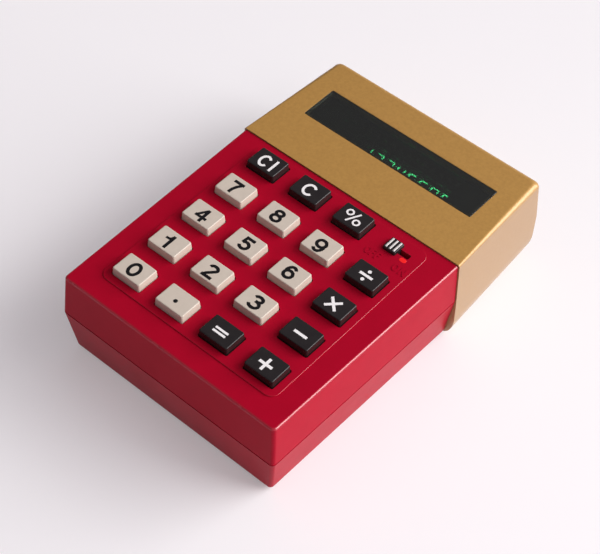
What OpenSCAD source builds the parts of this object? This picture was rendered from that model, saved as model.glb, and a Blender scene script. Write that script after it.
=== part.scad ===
// Pocket desk calculator: red two-shell case, gold display cap, 19 keys and a slide switch.
// Millimetres. X runs to the right, Y from the front edge to the display end, Z up from the table.
// The origin is at the middle of the footprint, on the table.

/* [Case] */
// Width over the split line, where the shells meet the display cap
case_w = 80; // [78:0.5:84]
// Length from the front wall to the back of the cap
case_l = 119.2; // [118:0.1:121]
// Height of the closed case without its feet
case_h = 30; // [29.6:0.1:32]
// Height of the lower shell, from its underside to the split line
lower_h = 15.6; // [14.6:0.1:16.4]
// Length of the red shells in front of the cap
shell_l = 76; // [75.5:0.1:77]
// Wall thickness of the red shells
wall = 2.6; // [2.4:0.05:2.8]
// How much each side draws in from the cap to the front edge
front_draw = 1.4; // [0.8:0.1:1.8]
// Draft of the upper shell's walls, at the top
upper_draft = 0.8; // [0.4:0.1:1.2]
// How much the lower shell tapers in on each side, down to its underside
lower_taper = 1.9; // [1:0.1:2.2]
// Radius of the upright corners at the front
corner_r = 1.2; // [0.8:0.1:2]
// Radius of the top edge of the upper shell
top_edge_r = 0.7; // [0.4:0.1:1]
// Radius of the bottom edge of the lower shell
bottom_edge_r = 1.5; // [1:0.1:1.8]
// Depth of the shadow groove along the split line
split_groove = 0.25; // [0.2:0.05:0.4]

/* [Keypad] */
// Distance between key columns
key_pitch_x = 15.85; // [15.5:0.05:16.1]
// Distance between key rows
key_pitch_y = 13.6; // [13.2:0.1:13.8]
// Shift of the whole keypad from the middle of the case
keypad_shift_x = -0.1; // [-0.8:0.1:0]
// Middle of the first row of keys behind the front wall
first_row_y = 14.15; // [13.6:0.05:14.4]
// Width of a key at the panel
key_w = 10.1; // [9.8:0.1:10.8]
// Depth of a key at the panel
key_d = 7.6; // [7:0.1:7.9]
// Height of a key above the panel
key_h = 2.4; // [1.8:0.1:3]
// Draft of a key's sides, at the top
key_draft = 0.4; // [0.2:0.05:0.6]
// Wall of the hollow key cap
key_wall = 1.1; // [0.8:0.1:1.4]
// Width of the lip on each side that keeps a key in the case
key_lip = 1.2; // [0.8:0.1:1.3]
// Thickness of that lip
key_lip_t = 1; // [0.8:0.05:1.2]
// Gap round a key in its hole
key_gap = 0.2; // [0.15:0.05:0.3]
// Travel of a key
key_travel = 1.2; // [0.8:0.1:1.4]
// Height of the raised keypad panel
panel_t = 0.3; // [0.2:0.05:0.5]
// Margin of the panel beyond the middle of the outer keys
panel_margin = 7.55; // [7.2:0.05:8]
// Margin of the panel in front of the first row of keys
panel_front = 2.6; // [2:0.1:3.2]
// Corner radius of the panel
panel_r = 3; // [2:0.1:4]
// Gap between the panel and the cap
panel_back = 2; // [1.6:0.1:2.6]

/* [Switch] */
// Middle of the switch slot, from the last key column
switch_x = -0.3; // [-0.8:0.1:0.8]
// Middle of the switch slot, from the last row of keys
switch_y = 0.65; // [0:0.05:1]
// Width of the sliding knob
knob_w = 4.4; // [4:0.1:4.8]
// Depth of the sliding knob
knob_d = 4.8; // [4.2:0.1:5]
// Height of the knob above the panel
knob_h = 1.1; // [0.9:0.1:1.6]
// Travel of the knob from OFF to ON
knob_travel = 3.2; // [2.8:0.1:3.6]
// Gap round the knob in its slot
knob_gap = 0.25; // [0.2:0.05:0.35]
// Diameter of the red inlay dot beside the slot
marker_d = 2; // [1.6:0.1:2.4]
// Distance of the dot's middle from the end of the slot
marker_in = 0.8; // [0.4:0.1:1.4]

/* [Display cap] */
// Wall of the cap
cap_t = 1.6; // [1.4:0.05:1.7]
// How far the cap stands proud of the shells
cap_proud = 0.4; // [0.3:0.05:0.5]
// How much each side of the cap draws in towards the back
cap_draw = 1.7; // [1:0.1:2]
// How far the cap's walls lean out at the seam, from the split line down to their widest line
cap_flare = 0.3; // [0.1:0.1:0.5]
// Height of that widest line above the cap's underside
cap_rim_h = 7.5; // [6:0.1:8.5]
// How far the cap draws in below it, down to the underside
cap_knee = 3.8; // [3.2:0.1:4]
// Draft of the cap's sides at the back, from the split line to the top
cap_far_draft = 0.4; // [0.2:0.1:0.8]
// Draft of the cap's back wall, from the split line to the top
cap_back_draft = 1.5; // [1:0.1:1.8]
// Radius of the cap's upright corners at the back
cap_corner_r = 1.8; // [1.7:0.1:2.6]
// Radius of the cap's top edge at the back
cap_edge_r = 2; // [1:0.1:2.4]
// Thickness of the ring in the cap's mouth, round the shells' tongue
cap_mouth = 1.2; // [0.8:0.1:1.6]
// Running gap between the shells' tongue and the cap
cap_gap = 0.1; // [0.05:0.05:0.15]
// Length of the tongue that the cap slides over
tongue_l = 8; // [7:0.1:9]
// Width of the display window
window_w = 61.2; // [56:0.1:62]
// Depth of the display window
window_d = 13.1; // [11:0.1:14]
// Thickness of the display window
window_t = 1.5; // [1.2:0.1:1.8]
// Distance from the seam to the near edge of the window
window_y = 16.6; // [15.5:0.1:17]
// Width of the ledge that the window rests on
window_ledge = 1.2; // [0.8:0.1:1.5]
// Thickness of that ledge
window_ledge_t = 0.9; // [0.7:0.1:1.1]
// Gap round the window
window_gap = 0.08; // [0.05:0.01:0.12]

/* [Batteries] */
// Diameter of a cell
cell_d = 14.5; // [13.5:0.1:14.5]
// Length of a cell
cell_l = 50.5; // [49.5:0.1:50.5]
// Distance between cells
cell_pitch = 14.8; // [14.6:0.05:14.9]
// Length of a contact spring, pressed by its cell
spring_l = 4.4; // [4:0.1:4.8]
// Diameter of the contact springs' wire
spring_wire = 0.6; // [0.5:0.05:0.7]
// Thickness of the contact plates
plate_t = 0.35; // [0.3:0.05:0.4]
// Thickness of the battery door
door_t = 1.6; // [1.4:0.1:1.8]
// Gap round the battery door
door_gap = 0.2; // [0.15:0.05:0.3]
// Width of the ledge that the door closes against
door_ledge = 1; // [0.8:0.1:1.2]
// Thickness of the battery bay's walls and roof
bay_wall = 1.2; // [1:0.1:1.3]
// How far the door lifts out before it is free
door_lift = 8; // [4:0.5:12]

/* [Boards] */
// Thickness of the circuit boards
board_t = 1.6; // [1.4:0.1:1.7]
// Height of the rubber key mat's flat sheet
mat_t = 0.8; // [0.6:0.05:1]
// Diameter of a dome on the key mat
dome_d = 7; // [6:0.1:7.6]
// Room between the key mat and a key pressed home
mat_room = 0.6; // [0.4:0.05:0.8]
// Gap that seats a piece on its support
seat_gap = 0.1; // [0.05:0.01:0.15]
// Radius of the posts that the boards are screwed to
post_r = 2; // [1.8:0.05:2.1]
// Width of the display tube
tube_w = 52; // [48:0.5:56]
// Depth of the display tube
tube_d = 17; // [15:0.1:18]
// Height of the display tube
tube_h = 6.4; // [6:0.1:6.8]
// Thickness of the tube's glass
glass_t = 1.1; // [0.9:0.05:1.3]
// Distance between digits
digit_pitch = 4.1; // [3.8:0.05:4.3]
// How far the row of digits lies to the right of the tube's middle
digit_shift_x = 1.2; // [0:0.1:1.4]
// Number of digits, with the sign
digit_count = 9; // [8:1:10]
// Height of a digit
digit_h = 5; // [4.4:0.1:5.4]

/* [Fixings] */
// Shank diameter of the case screws
screw_d = 2.6; // [2.4:0.05:2.7]
// Head diameter of the case screws
screw_head_d = 4.4; // [4:0.1:4.6]
// Length of the case screws under the head
screw_l = 10; // [8:0.5:11]
// Shank diameter of the small board screws
board_screw_d = 1.7; // [1.6:0.05:1.8]
// Length of the small board screws under the head
board_screw_l = 4; // [3.5:0.1:4.4]
// Gap between a screw and its hole
screw_gap = 0.05; // [0.03:0.01:0.08]
// Diameter of the rubber feet
foot_d = 6; // [5:0.1:6.4]
// How far the feet stand out of the case
foot_h = 0.6; // [0.5:0.05:0.9]
// Depth of the recess that a foot is glued in
foot_recess = 0.5; // [0.4:0.05:0.6]
// Bore radius of the adapter socket
jack_r = 1.85; // [1.8:0.01:1.9]
// Depth of the adapter socket's bore
jack_l = 9; // [8:0.1:10]

/* [Hidden] */
$fn = 48;
tiny = 0.01;
over = 0.5;                                  // how far a cut runs past what it cuts

// Levels of the case, from the table up
z_base = foot_h;
z_split = z_base + lower_h;
z_top = z_base + case_h;
z_ceiling = z_top - wall;
z_panel = z_top + panel_t;
z_cap_top = z_top + cap_proud;

// Levels of the keypad, hung from the ceiling
z_lip_top = z_ceiling - seat_gap;
z_lip = z_lip_top - key_lip_t;
z_mat_top = z_lip - key_travel - mat_room;
z_mat = z_mat_top - mat_t;
trace_t = 0.05;
z_keyboard_top = z_mat - trace_t;
z_keyboard = z_keyboard_top - board_t;

// Levels of the display, hung from the window ledge
z_ledge_top = z_cap_top - window_t;
z_ledge = z_ledge_top - window_ledge_t;
mask_h = 1.6;
z_tube_top = z_ledge - mask_h - 2 * seat_gap;
z_tube = z_tube_top - tube_h;
pad_t = 0.9;
z_board_top = z_tube - pad_t;
z_board = z_board_top - board_t;
z_anode = z_tube + glass_t;
anode_t = 0.6;
z_anode_top = z_anode + anode_t;

// Levels of the battery bay
z_door_top = z_base + door_t;
z_cell = z_door_top + seat_gap + cell_d / 2;
z_roof = z_cell + cell_d / 2 + seat_gap;
z_roof_top = z_roof + bay_wall;

// Places along the case
y_front = -case_l / 2;
y_seam = y_front + shell_l;
y_back = case_l / 2;
cap_l = case_l - shell_l;
seam_gap = 0.15;                             // shadow gap between the shells and the cap
y_window = y_seam + window_y;                // near edge of the window
y_window_mid = y_window + window_d / 2;
y_tube = y_window_mid - 0.6;
tongue_in = cap_t - cap_proud + cap_gap;     // how far the tongue lies inside the shells' faces
tongue_floor_in = cap_t + cap_gap;

// Half widths at the split line
half_seam = case_w / 2;
half_front = half_seam - front_draw;
half_back = half_seam - cap_draw;
function half_cap(y) = half_seam - cap_draw * (y - y_seam) / (cap_l - cap_corner_r);

// Keypad places
KEY_ROWS = [["0", "point", "equals", "plus"],
            ["1", "2", "3", "minus"],
            ["4", "5", "6", "times"],
            ["7", "8", "9", "divide"],
            ["clear_entry", "clear", "percent"]];
row_count = len(KEY_ROWS);
col_count = len(KEY_ROWS[0]);
function key_x(col) = keypad_shift_x + (col - (col_count - 1) / 2) * key_pitch_x;
function key_y(row) = y_front + first_row_y + row * key_pitch_y;
KEY_PLACES = [for (r = [0:row_count - 1])
              for (c = [0:len(KEY_ROWS[r]) - 1]) [key_x(c), key_y(r)]];
panel_x = (col_count - 1) / 2 * key_pitch_x + panel_margin;
y_panel = key_y(0) - key_d / 2 - panel_front;
y_panel_back = y_seam - panel_back;

// Switch places
slot_x = key_x(col_count - 1) + switch_x;
slot_y = key_y(row_count - 1) + switch_y;
neck_d = 1.7;
slot_l = knob_w + knob_travel + 2 * knob_gap;
knob_x = slot_x - knob_travel / 2;           // middle of the knob at OFF
can_l = slot_l + 4.6;
can_d = 6.6;
can_t = 0.5;
z_can_top = z_ceiling - 3 * seat_gap;

// Battery places
cell_count = 4;
bay_w = cell_count * cell_pitch + 0.4;
bay_l = cell_l + spring_l + 2 * plate_t;
bay_setback = 9;                             // from the seam to the bay's back wall
y_bay = y_seam - bay_setback - bay_l;        // inner face of the bay's front wall
y_bay_back = y_bay + bay_l;
function cell_x(i) = (i - (cell_count - 1) / 2) * cell_pitch;
door_w = bay_w + 2 * door_ledge;

// Fixing places
case_post_r = screw_d / 2 + 1.3;
x_post_front = 31;
x_post_back = 33.7;
y_post_front = y_front + 7;
y_post_back = y_seam - 4.6;
CASE_POSTS = [for (s = [-1, 1])
              for (p = [[x_post_front, y_post_front], [x_post_back, y_post_back]]) [s * p[0], p[1]]];
z_head = z_split - 6.2;                      // seat of the case screws' heads
head_h = 1.8;
KEY_POSTS = [for (c = [0.5, 2.5]) for (r = [0.5, 1.5, 2.5, 3.5]) [key_x(c), key_y(r)]];
board_head_r = board_screw_d;
board_head_h = 1;
BOARD_POSTS = [[-28, y_seam + 3.6], [28, y_seam + 3.6]];
board_post_r = board_screw_d / 2 + 1.4;
CAP_SCREWS = [[-15, y_seam + 4.4], [15, y_seam + 4.4]];
cap_screw_r = 1.1;
cap_head_r = 2;
cap_head_h = 0.9;
cap_screw_l = 6;
cap_boss_h = 5.6;
foot_r = foot_d / 2;
FEET = [[-19, y_front + 7], [19, y_front + 7], [-29, y_back - 9], [29, y_back - 9]];

// Adapter socket, hung under the main board
jack_x = -21;
jack_nose_r = jack_r + 1.3;
jack_body_w = 2 * jack_nose_r + 1.6;
jack_z = z_board - seat_gap - jack_body_w / 2;
y_jack = y_back - 1;                       // mouth of the socket, just inside the cap's back face

// Board outlines
keyboard_x = half_front - upper_draft - wall - 0.7;
keyboard_notch_x = x_post_back - case_post_r - 0.6;
y_keyboard = key_y(0) - key_d / 2 - 0.6;
y_keyboard_notch = y_post_back - case_post_r - 0.6;
y_keyboard_back = y_seam - 1;
board_x = half_back - cap_t - 1.2;
y_board = y_seam + 0.9;
y_board_back = y_back - 5.4;
tab_x = 14;
board_ledge_w = 2.6;
marker_deep = 0.4;
y_tab = y_bay_back + bay_wall + 1.1;

// Colours
red = [0.66, 0.03, 0.12];
gold = [0.6, 0.44, 0.18];
ivory = [0.78, 0.75, 0.68];
black = [0.04, 0.04, 0.045];
steel = [0.72, 0.72, 0.72];
tan = [0.66, 0.5, 0.3];

// ---------- Shared forms ----------

// A block with round upright corners, standing on z = 0 with its middle at the origin
module round_block(w, d, h, r) {
    translate([-w / 2 + r, -d / 2, 0]) cube([w - 2 * r, d, h]);
    translate([-w / 2, -d / 2 + r, 0]) cube([w, d - 2 * r, h]);
    for (sx = [-1, 1]) for (sy = [-1, 1])
        translate([sx * (w / 2 - r), sy * (d / 2 - r), 0]) cylinder(r = r, h = h);
}

// A shell's outline: each level is [height, inset], and the half width runs from front to back
module shell_form(levels, y0, y1, h0, h1, r) {
    hull() for (lv = levels) {
        for (sx = [-1, 1])
            translate([sx * (h0 - lv[1] - r), y0 + lv[1] + r, lv[0]])
                cylinder(r = r, h = tiny, $fn = 32);
        translate([-(h1 - lv[1]), y1 - tiny, lv[0]]) cube([2 * (h1 - lv[1]), tiny, tiny]);
    }
}

// The cap's outline: each level is [height at the seam, inset there, height at the back,
// inset of the sides there, inset of the back wall]
module cap_form(levels, y0, y1, h0, h1, r) {
    hull() for (lv = levels) {
        translate([-(h0 - lv[1]), y0, lv[0]]) cube([2 * (h0 - lv[1]), tiny, tiny]);
        for (sx = [-1, 1])
            translate([sx * (h1 - lv[3] - r), y1 - lv[4] - r, lv[2]])
                cylinder(r = r, h = tiny, $fn = 32);
    }
}

ARC = [0, 30, 60, 90];
function top_arc(z, r, inset) =
    [for (a = ARC) [z - r * (1 - sin(a)) - tiny, inset + r * (1 - cos(a))]];
function bottom_arc(z, r, inset) =
    [for (a = ARC) [z + r * (1 - sin(a)), inset + r * (1 - cos(a))]];

// A screw's hole or shank pointing up from z = 0
module drill(r, h) {
    translate([0, 0, -over]) cylinder(r = r, h = h + over);
}

// ---------- Case ----------

module upper_case() {
    color(red) difference() {
        union() {
            difference() {
                union() {
                    shell_form(concat([[z_split, 0]], top_arc(z_top, top_edge_r, upper_draft)),
                               y_front, y_seam, half_front, half_seam, corner_r);
                    shell_form([[z_split, tongue_in],
                                [z_top - tongue_in - 1, upper_draft + tongue_in],
                                [z_top - tongue_in - tiny, upper_draft + tongue_in + 1]],
                               y_seam - wall, y_seam + tongue_l, half_seam,
                               half_cap(y_seam + tongue_l) - seat_gap, corner_r);
                }
                shell_form([[z_split - over, wall], [z_ceiling - tiny, upper_draft + wall]],
                           y_front, y_seam + tongue_l + over, half_front,
                           half_cap(y_seam + tongue_l + over), corner_r);
            }
            // Raised keypad panel
            translate([keypad_shift_x, (y_panel + y_panel_back) / 2, z_ceiling + over])
                round_block(2 * panel_x, y_panel_back - y_panel, z_panel - z_ceiling - over, panel_r);
            // Posts for the case screws, down to the split line
            for (p = CASE_POSTS)
                translate([p[0], p[1], z_split]) cylinder(r = case_post_r, h = z_ceiling - z_split + over);
            // Posts for the key board's screws
            for (p = KEY_POSTS)
                translate([p[0], p[1], z_keyboard_top + seat_gap / 2])
                    cylinder(r = post_r, h = z_ceiling - z_keyboard_top + over);
        }
        for (p = KEY_PLACES)
            translate([p[0], p[1], z_ceiling - over])
                round_block(key_w + 2 * key_gap, key_d + 2 * key_gap, wall + panel_t + 2 * over, 0.5);
        // Slot of the switch and the bed of its red dot
        translate([slot_x, slot_y, z_ceiling - over])
            round_block(slot_l, neck_d + 2 * knob_gap, wall + panel_t + 2 * over, 0.4);
        translate([0, 0, z_panel - marker_deep]) marker_form(over + marker_deep, seat_gap / 4);
        for (p = CASE_POSTS)
            translate([p[0], p[1], z_split])
                drill(screw_d / 2 + screw_gap, z_head + screw_l - z_split + 1);
        for (p = KEY_POSTS)
            translate([p[0], p[1], z_keyboard_top])
                drill(board_screw_d / 2 + screw_gap, board_screw_l - board_t + 0.6);
    }
}

// The red dot beside the slot: a short bar with round ends
module marker_form(h, grow) {
    r = marker_d * 0.36 + grow;
    reach = marker_d * 0.2;
    translate([slot_x + slot_l / 2 - marker_in, slot_y - neck_d / 2 - knob_gap - r - 0.15, 0]) {
        for (s = [-1, 1]) translate([s * reach, 0, 0]) cylinder(r = r, h = h);
        translate([-reach, -r, 0]) cube([2 * reach, 2 * r, h]);
    }
}

module switch_marker() {
    color([0.9, 0.05, 0.03]) translate([0, 0, z_panel - marker_deep])
        marker_form(marker_deep + 0.05, 0);
}

module lower_case() {
    color(red) difference() {
        union() {
            difference() {
                union() {
                    shell_form(concat([[z_split - tiny, split_groove], [z_split - split_groove, 0]],
                                      bottom_arc(z_base, bottom_edge_r, lower_taper)),
                               y_front, y_seam, half_front, half_seam, corner_r);
                    shell_form([[z_base + tongue_floor_in, lower_taper + tongue_in + bottom_edge_r],
                                [z_base + tongue_floor_in + bottom_edge_r, lower_taper + tongue_in],
                                [z_split - tiny, tongue_in]],
                               y_seam - wall, y_seam + tongue_l, half_seam,
                               half_cap(y_seam + tongue_l) - seat_gap, corner_r);
                }
                shell_form([[z_base + wall, lower_taper + wall + 0.6],
                            [z_base + wall + 0.6, lower_taper + wall], [z_split + over, wall]],
                           y_front, y_seam + tongue_l + over, half_front,
                           half_cap(y_seam + tongue_l + over), corner_r);
            }
            // Battery bay, open below
            translate([-bay_w / 2 - bay_wall, y_bay - bay_wall, z_base + 1])
                cube([bay_w + 2 * bay_wall, bay_l + 2 * bay_wall, z_roof_top - z_base - 1]);
            for (p = CASE_POSTS) {
                translate([p[0], p[1], z_base + 1])
                    cylinder(r = screw_head_d / 2 + 1.3, h = z_head - z_base + 0.4);
                translate([p[0], p[1], z_head]) cylinder(r = case_post_r, h = z_split - z_head);
            }
            // Posts for the main board and bosses for the cap's screws
            for (p = BOARD_POSTS)
                translate([p[0], p[1], z_base + wall - 0.6])
                    cylinder(r = board_post_r, h = z_board - z_base - wall + 0.6);
            for (p = CAP_SCREWS)
                translate([p[0], p[1], z_base + wall - 0.6])
                    cylinder(r = cap_screw_r + 1.2, h = cap_boss_h);
        }
        translate([-bay_w / 2, y_bay, z_base - over]) cube([bay_w, bay_l, z_roof - z_base + over]);
        translate([-door_w / 2 - door_gap, y_bay, z_base - over])
            cube([door_w + 2 * door_gap, bay_l, door_t + seat_gap + over]);
        // Slots in the bay's back wall for the two terminal tabs
        for (i = [0, cell_count - 1])
            translate([cell_x(i) - 2.2, y_bay_back - over, z_cell + 2])
                cube([4.4, bay_wall + 2 * over, 1.4]);
        for (p = CASE_POSTS) {
            translate([p[0], p[1], z_base]) drill(screw_head_d / 2 + 0.2, z_head - z_base);
            translate([p[0], p[1], z_head]) drill(screw_d / 2 + screw_gap, z_split - z_head + over);
        }
        for (p = BOARD_POSTS)
            translate([p[0], p[1], z_board_top - board_screw_l - 0.6])
                cylinder(r = board_screw_d / 2 + screw_gap, h = board_screw_l + 2);
        for (p = CAP_SCREWS)
            translate([p[0], p[1], z_base]) drill(cap_screw_r + screw_gap, cap_screw_l + 0.6);
        for (p = FEET) if (p[1] < y_seam)
            translate([p[0], p[1], z_base]) drill(foot_r + seat_gap / 2, foot_recess);
    }
}

// Levels of the cap's knee: h is its height, and t how far the level lies inside the cap's faces
function cap_knee_levels(h, t) =
    [for (a = ARC) let (z = z_base + t + h * (1 - sin(a)), d = cap_knee * (1 - cos(a)) + t)
        [z, d - cap_proud - cap_flare, z, d, d]];

// Levels of the cap's top edge
function cap_top_levels() =
    let (near = top_arc(z_cap_top, top_edge_r, upper_draft - cap_proud),
         side = top_arc(z_cap_top, cap_edge_r, cap_far_draft),
         back = top_arc(z_cap_top, cap_edge_r, cap_back_draft))
    [for (i = [0:len(ARC) - 1]) [near[i][0], near[i][1], side[i][0], side[i][1], back[i][1]]];

// The room in the cap's mouth for the shells' tongue
module tongue_room() {
    room_in = tongue_in - cap_gap;
    z_floor = z_base + tongue_floor_in - cap_gap;
    shell_form([[z_floor, lower_taper + room_in + bottom_edge_r],
                [z_floor + bottom_edge_r, lower_taper + room_in],
                [z_split, room_in],
                [z_top - room_in - 1, upper_draft + room_in],
                [z_top - room_in - tiny, upper_draft + room_in + 1]],
               y_seam - wall, y_seam + tongue_l, half_seam, half_cap(y_seam + tongue_l), corner_r);
}

module display_cap() {
    y0 = y_seam + seam_gap;
    y1 = y0 + cap_mouth;
    color(gold) difference() {
        union() {
            difference() {
                cap_form(concat(cap_knee_levels(cap_rim_h, 0),
                                [[z_split, -cap_proud, z_split, 0, 0]],
                                cap_top_levels()),
                         y0, y_back, half_cap(y0), half_back, cap_corner_r);
                cap_form(concat(cap_knee_levels(cap_rim_h - cap_t, cap_t),
                                [[z_split, cap_t - cap_proud, z_split, cap_t, cap_t],
                                 [z_cap_top - cap_t - tiny, upper_draft - cap_proud + cap_t,
                                  z_cap_top - cap_t - 1, cap_far_draft + cap_t,
                                  cap_back_draft + cap_t],
                                 [z_cap_top - cap_t - tiny, upper_draft + cap_t,
                                  z_cap_top - cap_t - tiny, cap_far_draft + cap_t + 1.4,
                                  cap_back_draft + cap_t + 1.4]]),
                         y1, y_back, half_cap(y1), half_back, cap_corner_r - cap_t);
                tongue_room();
            }
            // Thick rim inside, round the window
            translate([0, y_window_mid, z_ledge])
                round_block(window_w + 3, window_d + 3, z_cap_top - z_ledge - window_t / 2, 1);
            // Ledges inside that carry the back of the main board
            for (s = [-1, 1])
                translate([s * (board_x - 1) - (s < 0 ? board_ledge_w : 0), y_board_back - 9,
                           z_board - seat_gap - 2]) cube([board_ledge_w, 8, 2]);
        }
        translate([0, y_window_mid, z_ledge_top])
            round_block(window_w + 2 * window_gap, window_d + 2 * window_gap, window_t + over, 0.4);
        translate([0, y_window_mid, z_ledge - over])
            round_block(window_w - 2 * window_ledge, window_d - 2 * window_ledge,
                        window_ledge_t + 2 * over, 0.4);
        translate([jack_x, y_back - 4, jack_z]) rotate([-90, 0, 0])
            cylinder(r = jack_nose_r + seat_gap, h = 6);
        for (p = CAP_SCREWS) translate([p[0], p[1], z_base]) {
            drill(cap_screw_r + screw_gap, cap_t + over);
            translate([0, 0, -tiny])
                cylinder(r1 = cap_head_r + 0.1, r2 = cap_screw_r + screw_gap, h = cap_head_h + 0.1);
        }
        for (p = FEET) if (p[1] > y_seam)
            translate([p[0], p[1], z_base]) drill(foot_r + seat_gap / 2, foot_recess);
    }
}

module display_window() {
    color([0.05, 0.06, 0.06]) translate([0, y_window_mid, z_ledge_top])
        round_block(window_w, window_d, window_t, 0.35);
}

module battery_door() {
    color(red) difference() {
        translate([-door_w / 2, y_bay + door_gap, z_base]) cube([door_w, bay_l - 2 * door_gap, door_t]);
        // Finger recess and grip lines
        translate([0, y_bay + bay_l - 7, z_base - 1.2]) rotate([0, 90, 0])
            cylinder(r = 2, h = 16, center = true);
        for (i = [0:3])
            translate([-8, y_bay + bay_l - 12 - 1.6 * i, z_base - over]) cube([16, 0.6, over + 0.4]);
    }
}

// ---------- Keys and switch ----------

// A hollow key cap with a lip on each side and a plunger in the middle
module key_cap(place, tone) {
    color(tone) translate([place[0], place[1], 0]) difference() {
        union() {
            translate([0, 0, z_lip]) round_block(key_w, key_d, z_panel - z_lip + 0.3, 0.5);
            hull() {
                translate([0, 0, z_panel + 0.3]) cube([key_w, key_d, 2 * tiny], center = true);
                translate([0, 0, z_panel + key_h - 0.35])
                    cube([key_w - 2 * key_draft, key_d - 2 * key_draft, tiny], center = true);
                translate([0, 0, z_panel + key_h - tiny])
                    cube([key_w - 2 * key_draft - 0.6, key_d - 2 * key_draft - 0.6, tiny], center = true);
            }
            translate([-key_w / 2 - key_lip, -key_d / 2, z_lip])
                cube([key_w + 2 * key_lip, key_d, key_lip_t]);
        }
        difference() {
            translate([-key_w / 2 + key_wall, -key_d / 2 + key_wall, z_lip - over])
                cube([key_w - 2 * key_wall, key_d - 2 * key_wall, z_panel + key_h - key_wall - z_lip + over]);
            translate([0, 0, z_lip - 2 * over]) cylinder(r = 1.5, h = z_panel + key_h - z_lip);
        }
    }
}

module key_0() { key_cap([key_x(0), key_y(0)], ivory); }
module key_point() { key_cap([key_x(1), key_y(0)], ivory); }
module key_equals() { key_cap([key_x(2), key_y(0)], black); }
module key_plus() { key_cap([key_x(3), key_y(0)], black); }
module key_1() { key_cap([key_x(0), key_y(1)], ivory); }
module key_2() { key_cap([key_x(1), key_y(1)], ivory); }
module key_3() { key_cap([key_x(2), key_y(1)], ivory); }
module key_minus() { key_cap([key_x(3), key_y(1)], black); }
module key_4() { key_cap([key_x(0), key_y(2)], ivory); }
module key_5() { key_cap([key_x(1), key_y(2)], ivory); }
module key_6() { key_cap([key_x(2), key_y(2)], ivory); }
module key_times() { key_cap([key_x(3), key_y(2)], black); }
module key_7() { key_cap([key_x(0), key_y(3)], ivory); }
module key_8() { key_cap([key_x(1), key_y(3)], ivory); }
module key_9() { key_cap([key_x(2), key_y(3)], ivory); }
module key_divide() { key_cap([key_x(3), key_y(3)], black); }
module key_clear_entry() { key_cap([key_x(0), key_y(4)], black); }
module key_clear() { key_cap([key_x(1), key_y(4)], black); }
module key_percent() { key_cap([key_x(2), key_y(4)], black); }

module switch_knob() {
    slider_h = 1.4;
    z_slider = z_keyboard_top + 1.1;
    color(black) translate([knob_x, slot_y, 0]) {
        translate([0, 0, z_panel + seat_gap]) round_block(knob_w, knob_d, knob_h - seat_gap, 0.5);
        for (i = [-1, 0, 1])
            translate([i * 1.35 - 0.35, -knob_d / 2 + 0.3, z_panel + knob_h - tiny])
                cube([0.7, knob_d - 0.6, 0.25]);
        translate([-knob_w / 2, -neck_d / 2, z_slider])
            cube([knob_w, neck_d, z_panel + seat_gap + over - z_slider]);
        translate([-knob_w / 2, -can_d / 2 + can_t + 0.3, z_slider])
            cube([knob_w, can_d - 2 * can_t - 0.6, slider_h]);
    }
}

module switch_can() {
    color(steel) translate([slot_x, slot_y, z_keyboard_top]) difference() {
        round_block(can_l, can_d, z_can_top - z_keyboard_top, 0.4);
        translate([-can_l / 2 + can_t, -can_d / 2 + can_t, 0.4])
            cube([can_l - 2 * can_t, can_d - 2 * can_t, 10]);
    }
}

module switch_contacts() {
    color([0.8, 0.66, 0.3]) for (i = [-1, 0, 1])
        translate([slot_x + i * 3.4 - 1.2, slot_y - 1, z_keyboard_top + 0.4]) cube([2.4, 2, 0.45]);
}

// ---------- Keypad boards ----------

// The key board's outline, notched at the back for the case posts
module keyboard_plan(h) {
    translate([-keyboard_x, y_keyboard, 0]) cube([2 * keyboard_x, y_keyboard_notch - y_keyboard, h]);
    translate([-keyboard_notch_x, y_keyboard, 0])
        cube([2 * keyboard_notch_x, y_keyboard_back - y_keyboard, h]);
}

module key_board() {
    color(tan) difference() {
        translate([0, 0, z_keyboard]) keyboard_plan(board_t);
        for (p = KEY_POSTS)
            translate([p[0], p[1], z_keyboard]) drill(board_screw_d / 2 + 0.2, board_t + over);
    }
}

module key_contacts() {
    color([0.15, 0.15, 0.15]) for (p = KEY_PLACES)
        translate([p[0], p[1], z_keyboard_top]) difference() {
            cylinder(r = dome_d / 2 - 0.9, h = trace_t);
            translate([-0.15, -dome_d, -over]) cube([0.3, 2 * dome_d, 2]);
        }
}

module key_mat() {
    foot = z_lip - seat_gap - z_mat_top;
    color([0.55, 0.56, 0.58]) difference() {
        union() {
            difference() {
                translate([0, 0, z_mat]) keyboard_plan(mat_t);
                translate([slot_x, slot_y, z_mat - over]) round_block(can_l + 0.6, can_d + 0.6, 3, 0.4);
                for (p = KEY_POSTS)
                    translate([p[0], p[1], z_mat]) drill(post_r + 0.3, mat_t + over);
            }
            for (p = KEY_PLACES)
                translate([p[0], p[1], z_mat_top - tiny])
                    cylinder(r1 = dome_d / 2, r2 = dome_d / 2 - 1.2, h = foot);
        }
        // Hollow under each dome, round the pill that closes the contact
        for (p = KEY_PLACES)
            translate([p[0], p[1], z_mat - over]) difference() {
                cylinder(r = dome_d / 2 - 1.7, h = mat_t + foot - 0.5 + over);
                translate([0, 0, mat_t + over]) cylinder(r = 1, h = foot);
            }
    }
}

module key_board_screws() {
    color(steel) for (p = KEY_POSTS) translate([p[0], p[1], z_keyboard]) {
        cylinder(r = board_screw_d / 2, h = board_screw_l);
        translate([0, 0, -board_head_h]) difference() {
            cylinder(r = board_head_r, h = board_head_h);
            for (a = [0, 90]) rotate(a) translate([-1, -0.2, -over]) cube([2, 0.4, over + 0.5]);
        }
    }
}

module insulating_sheet() {
    color([0.82, 0.74, 0.55]) translate([-bay_w / 2, y_bay, z_roof_top]) cube([bay_w, bay_l, 0.3]);
}

// ---------- Main board ----------

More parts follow.
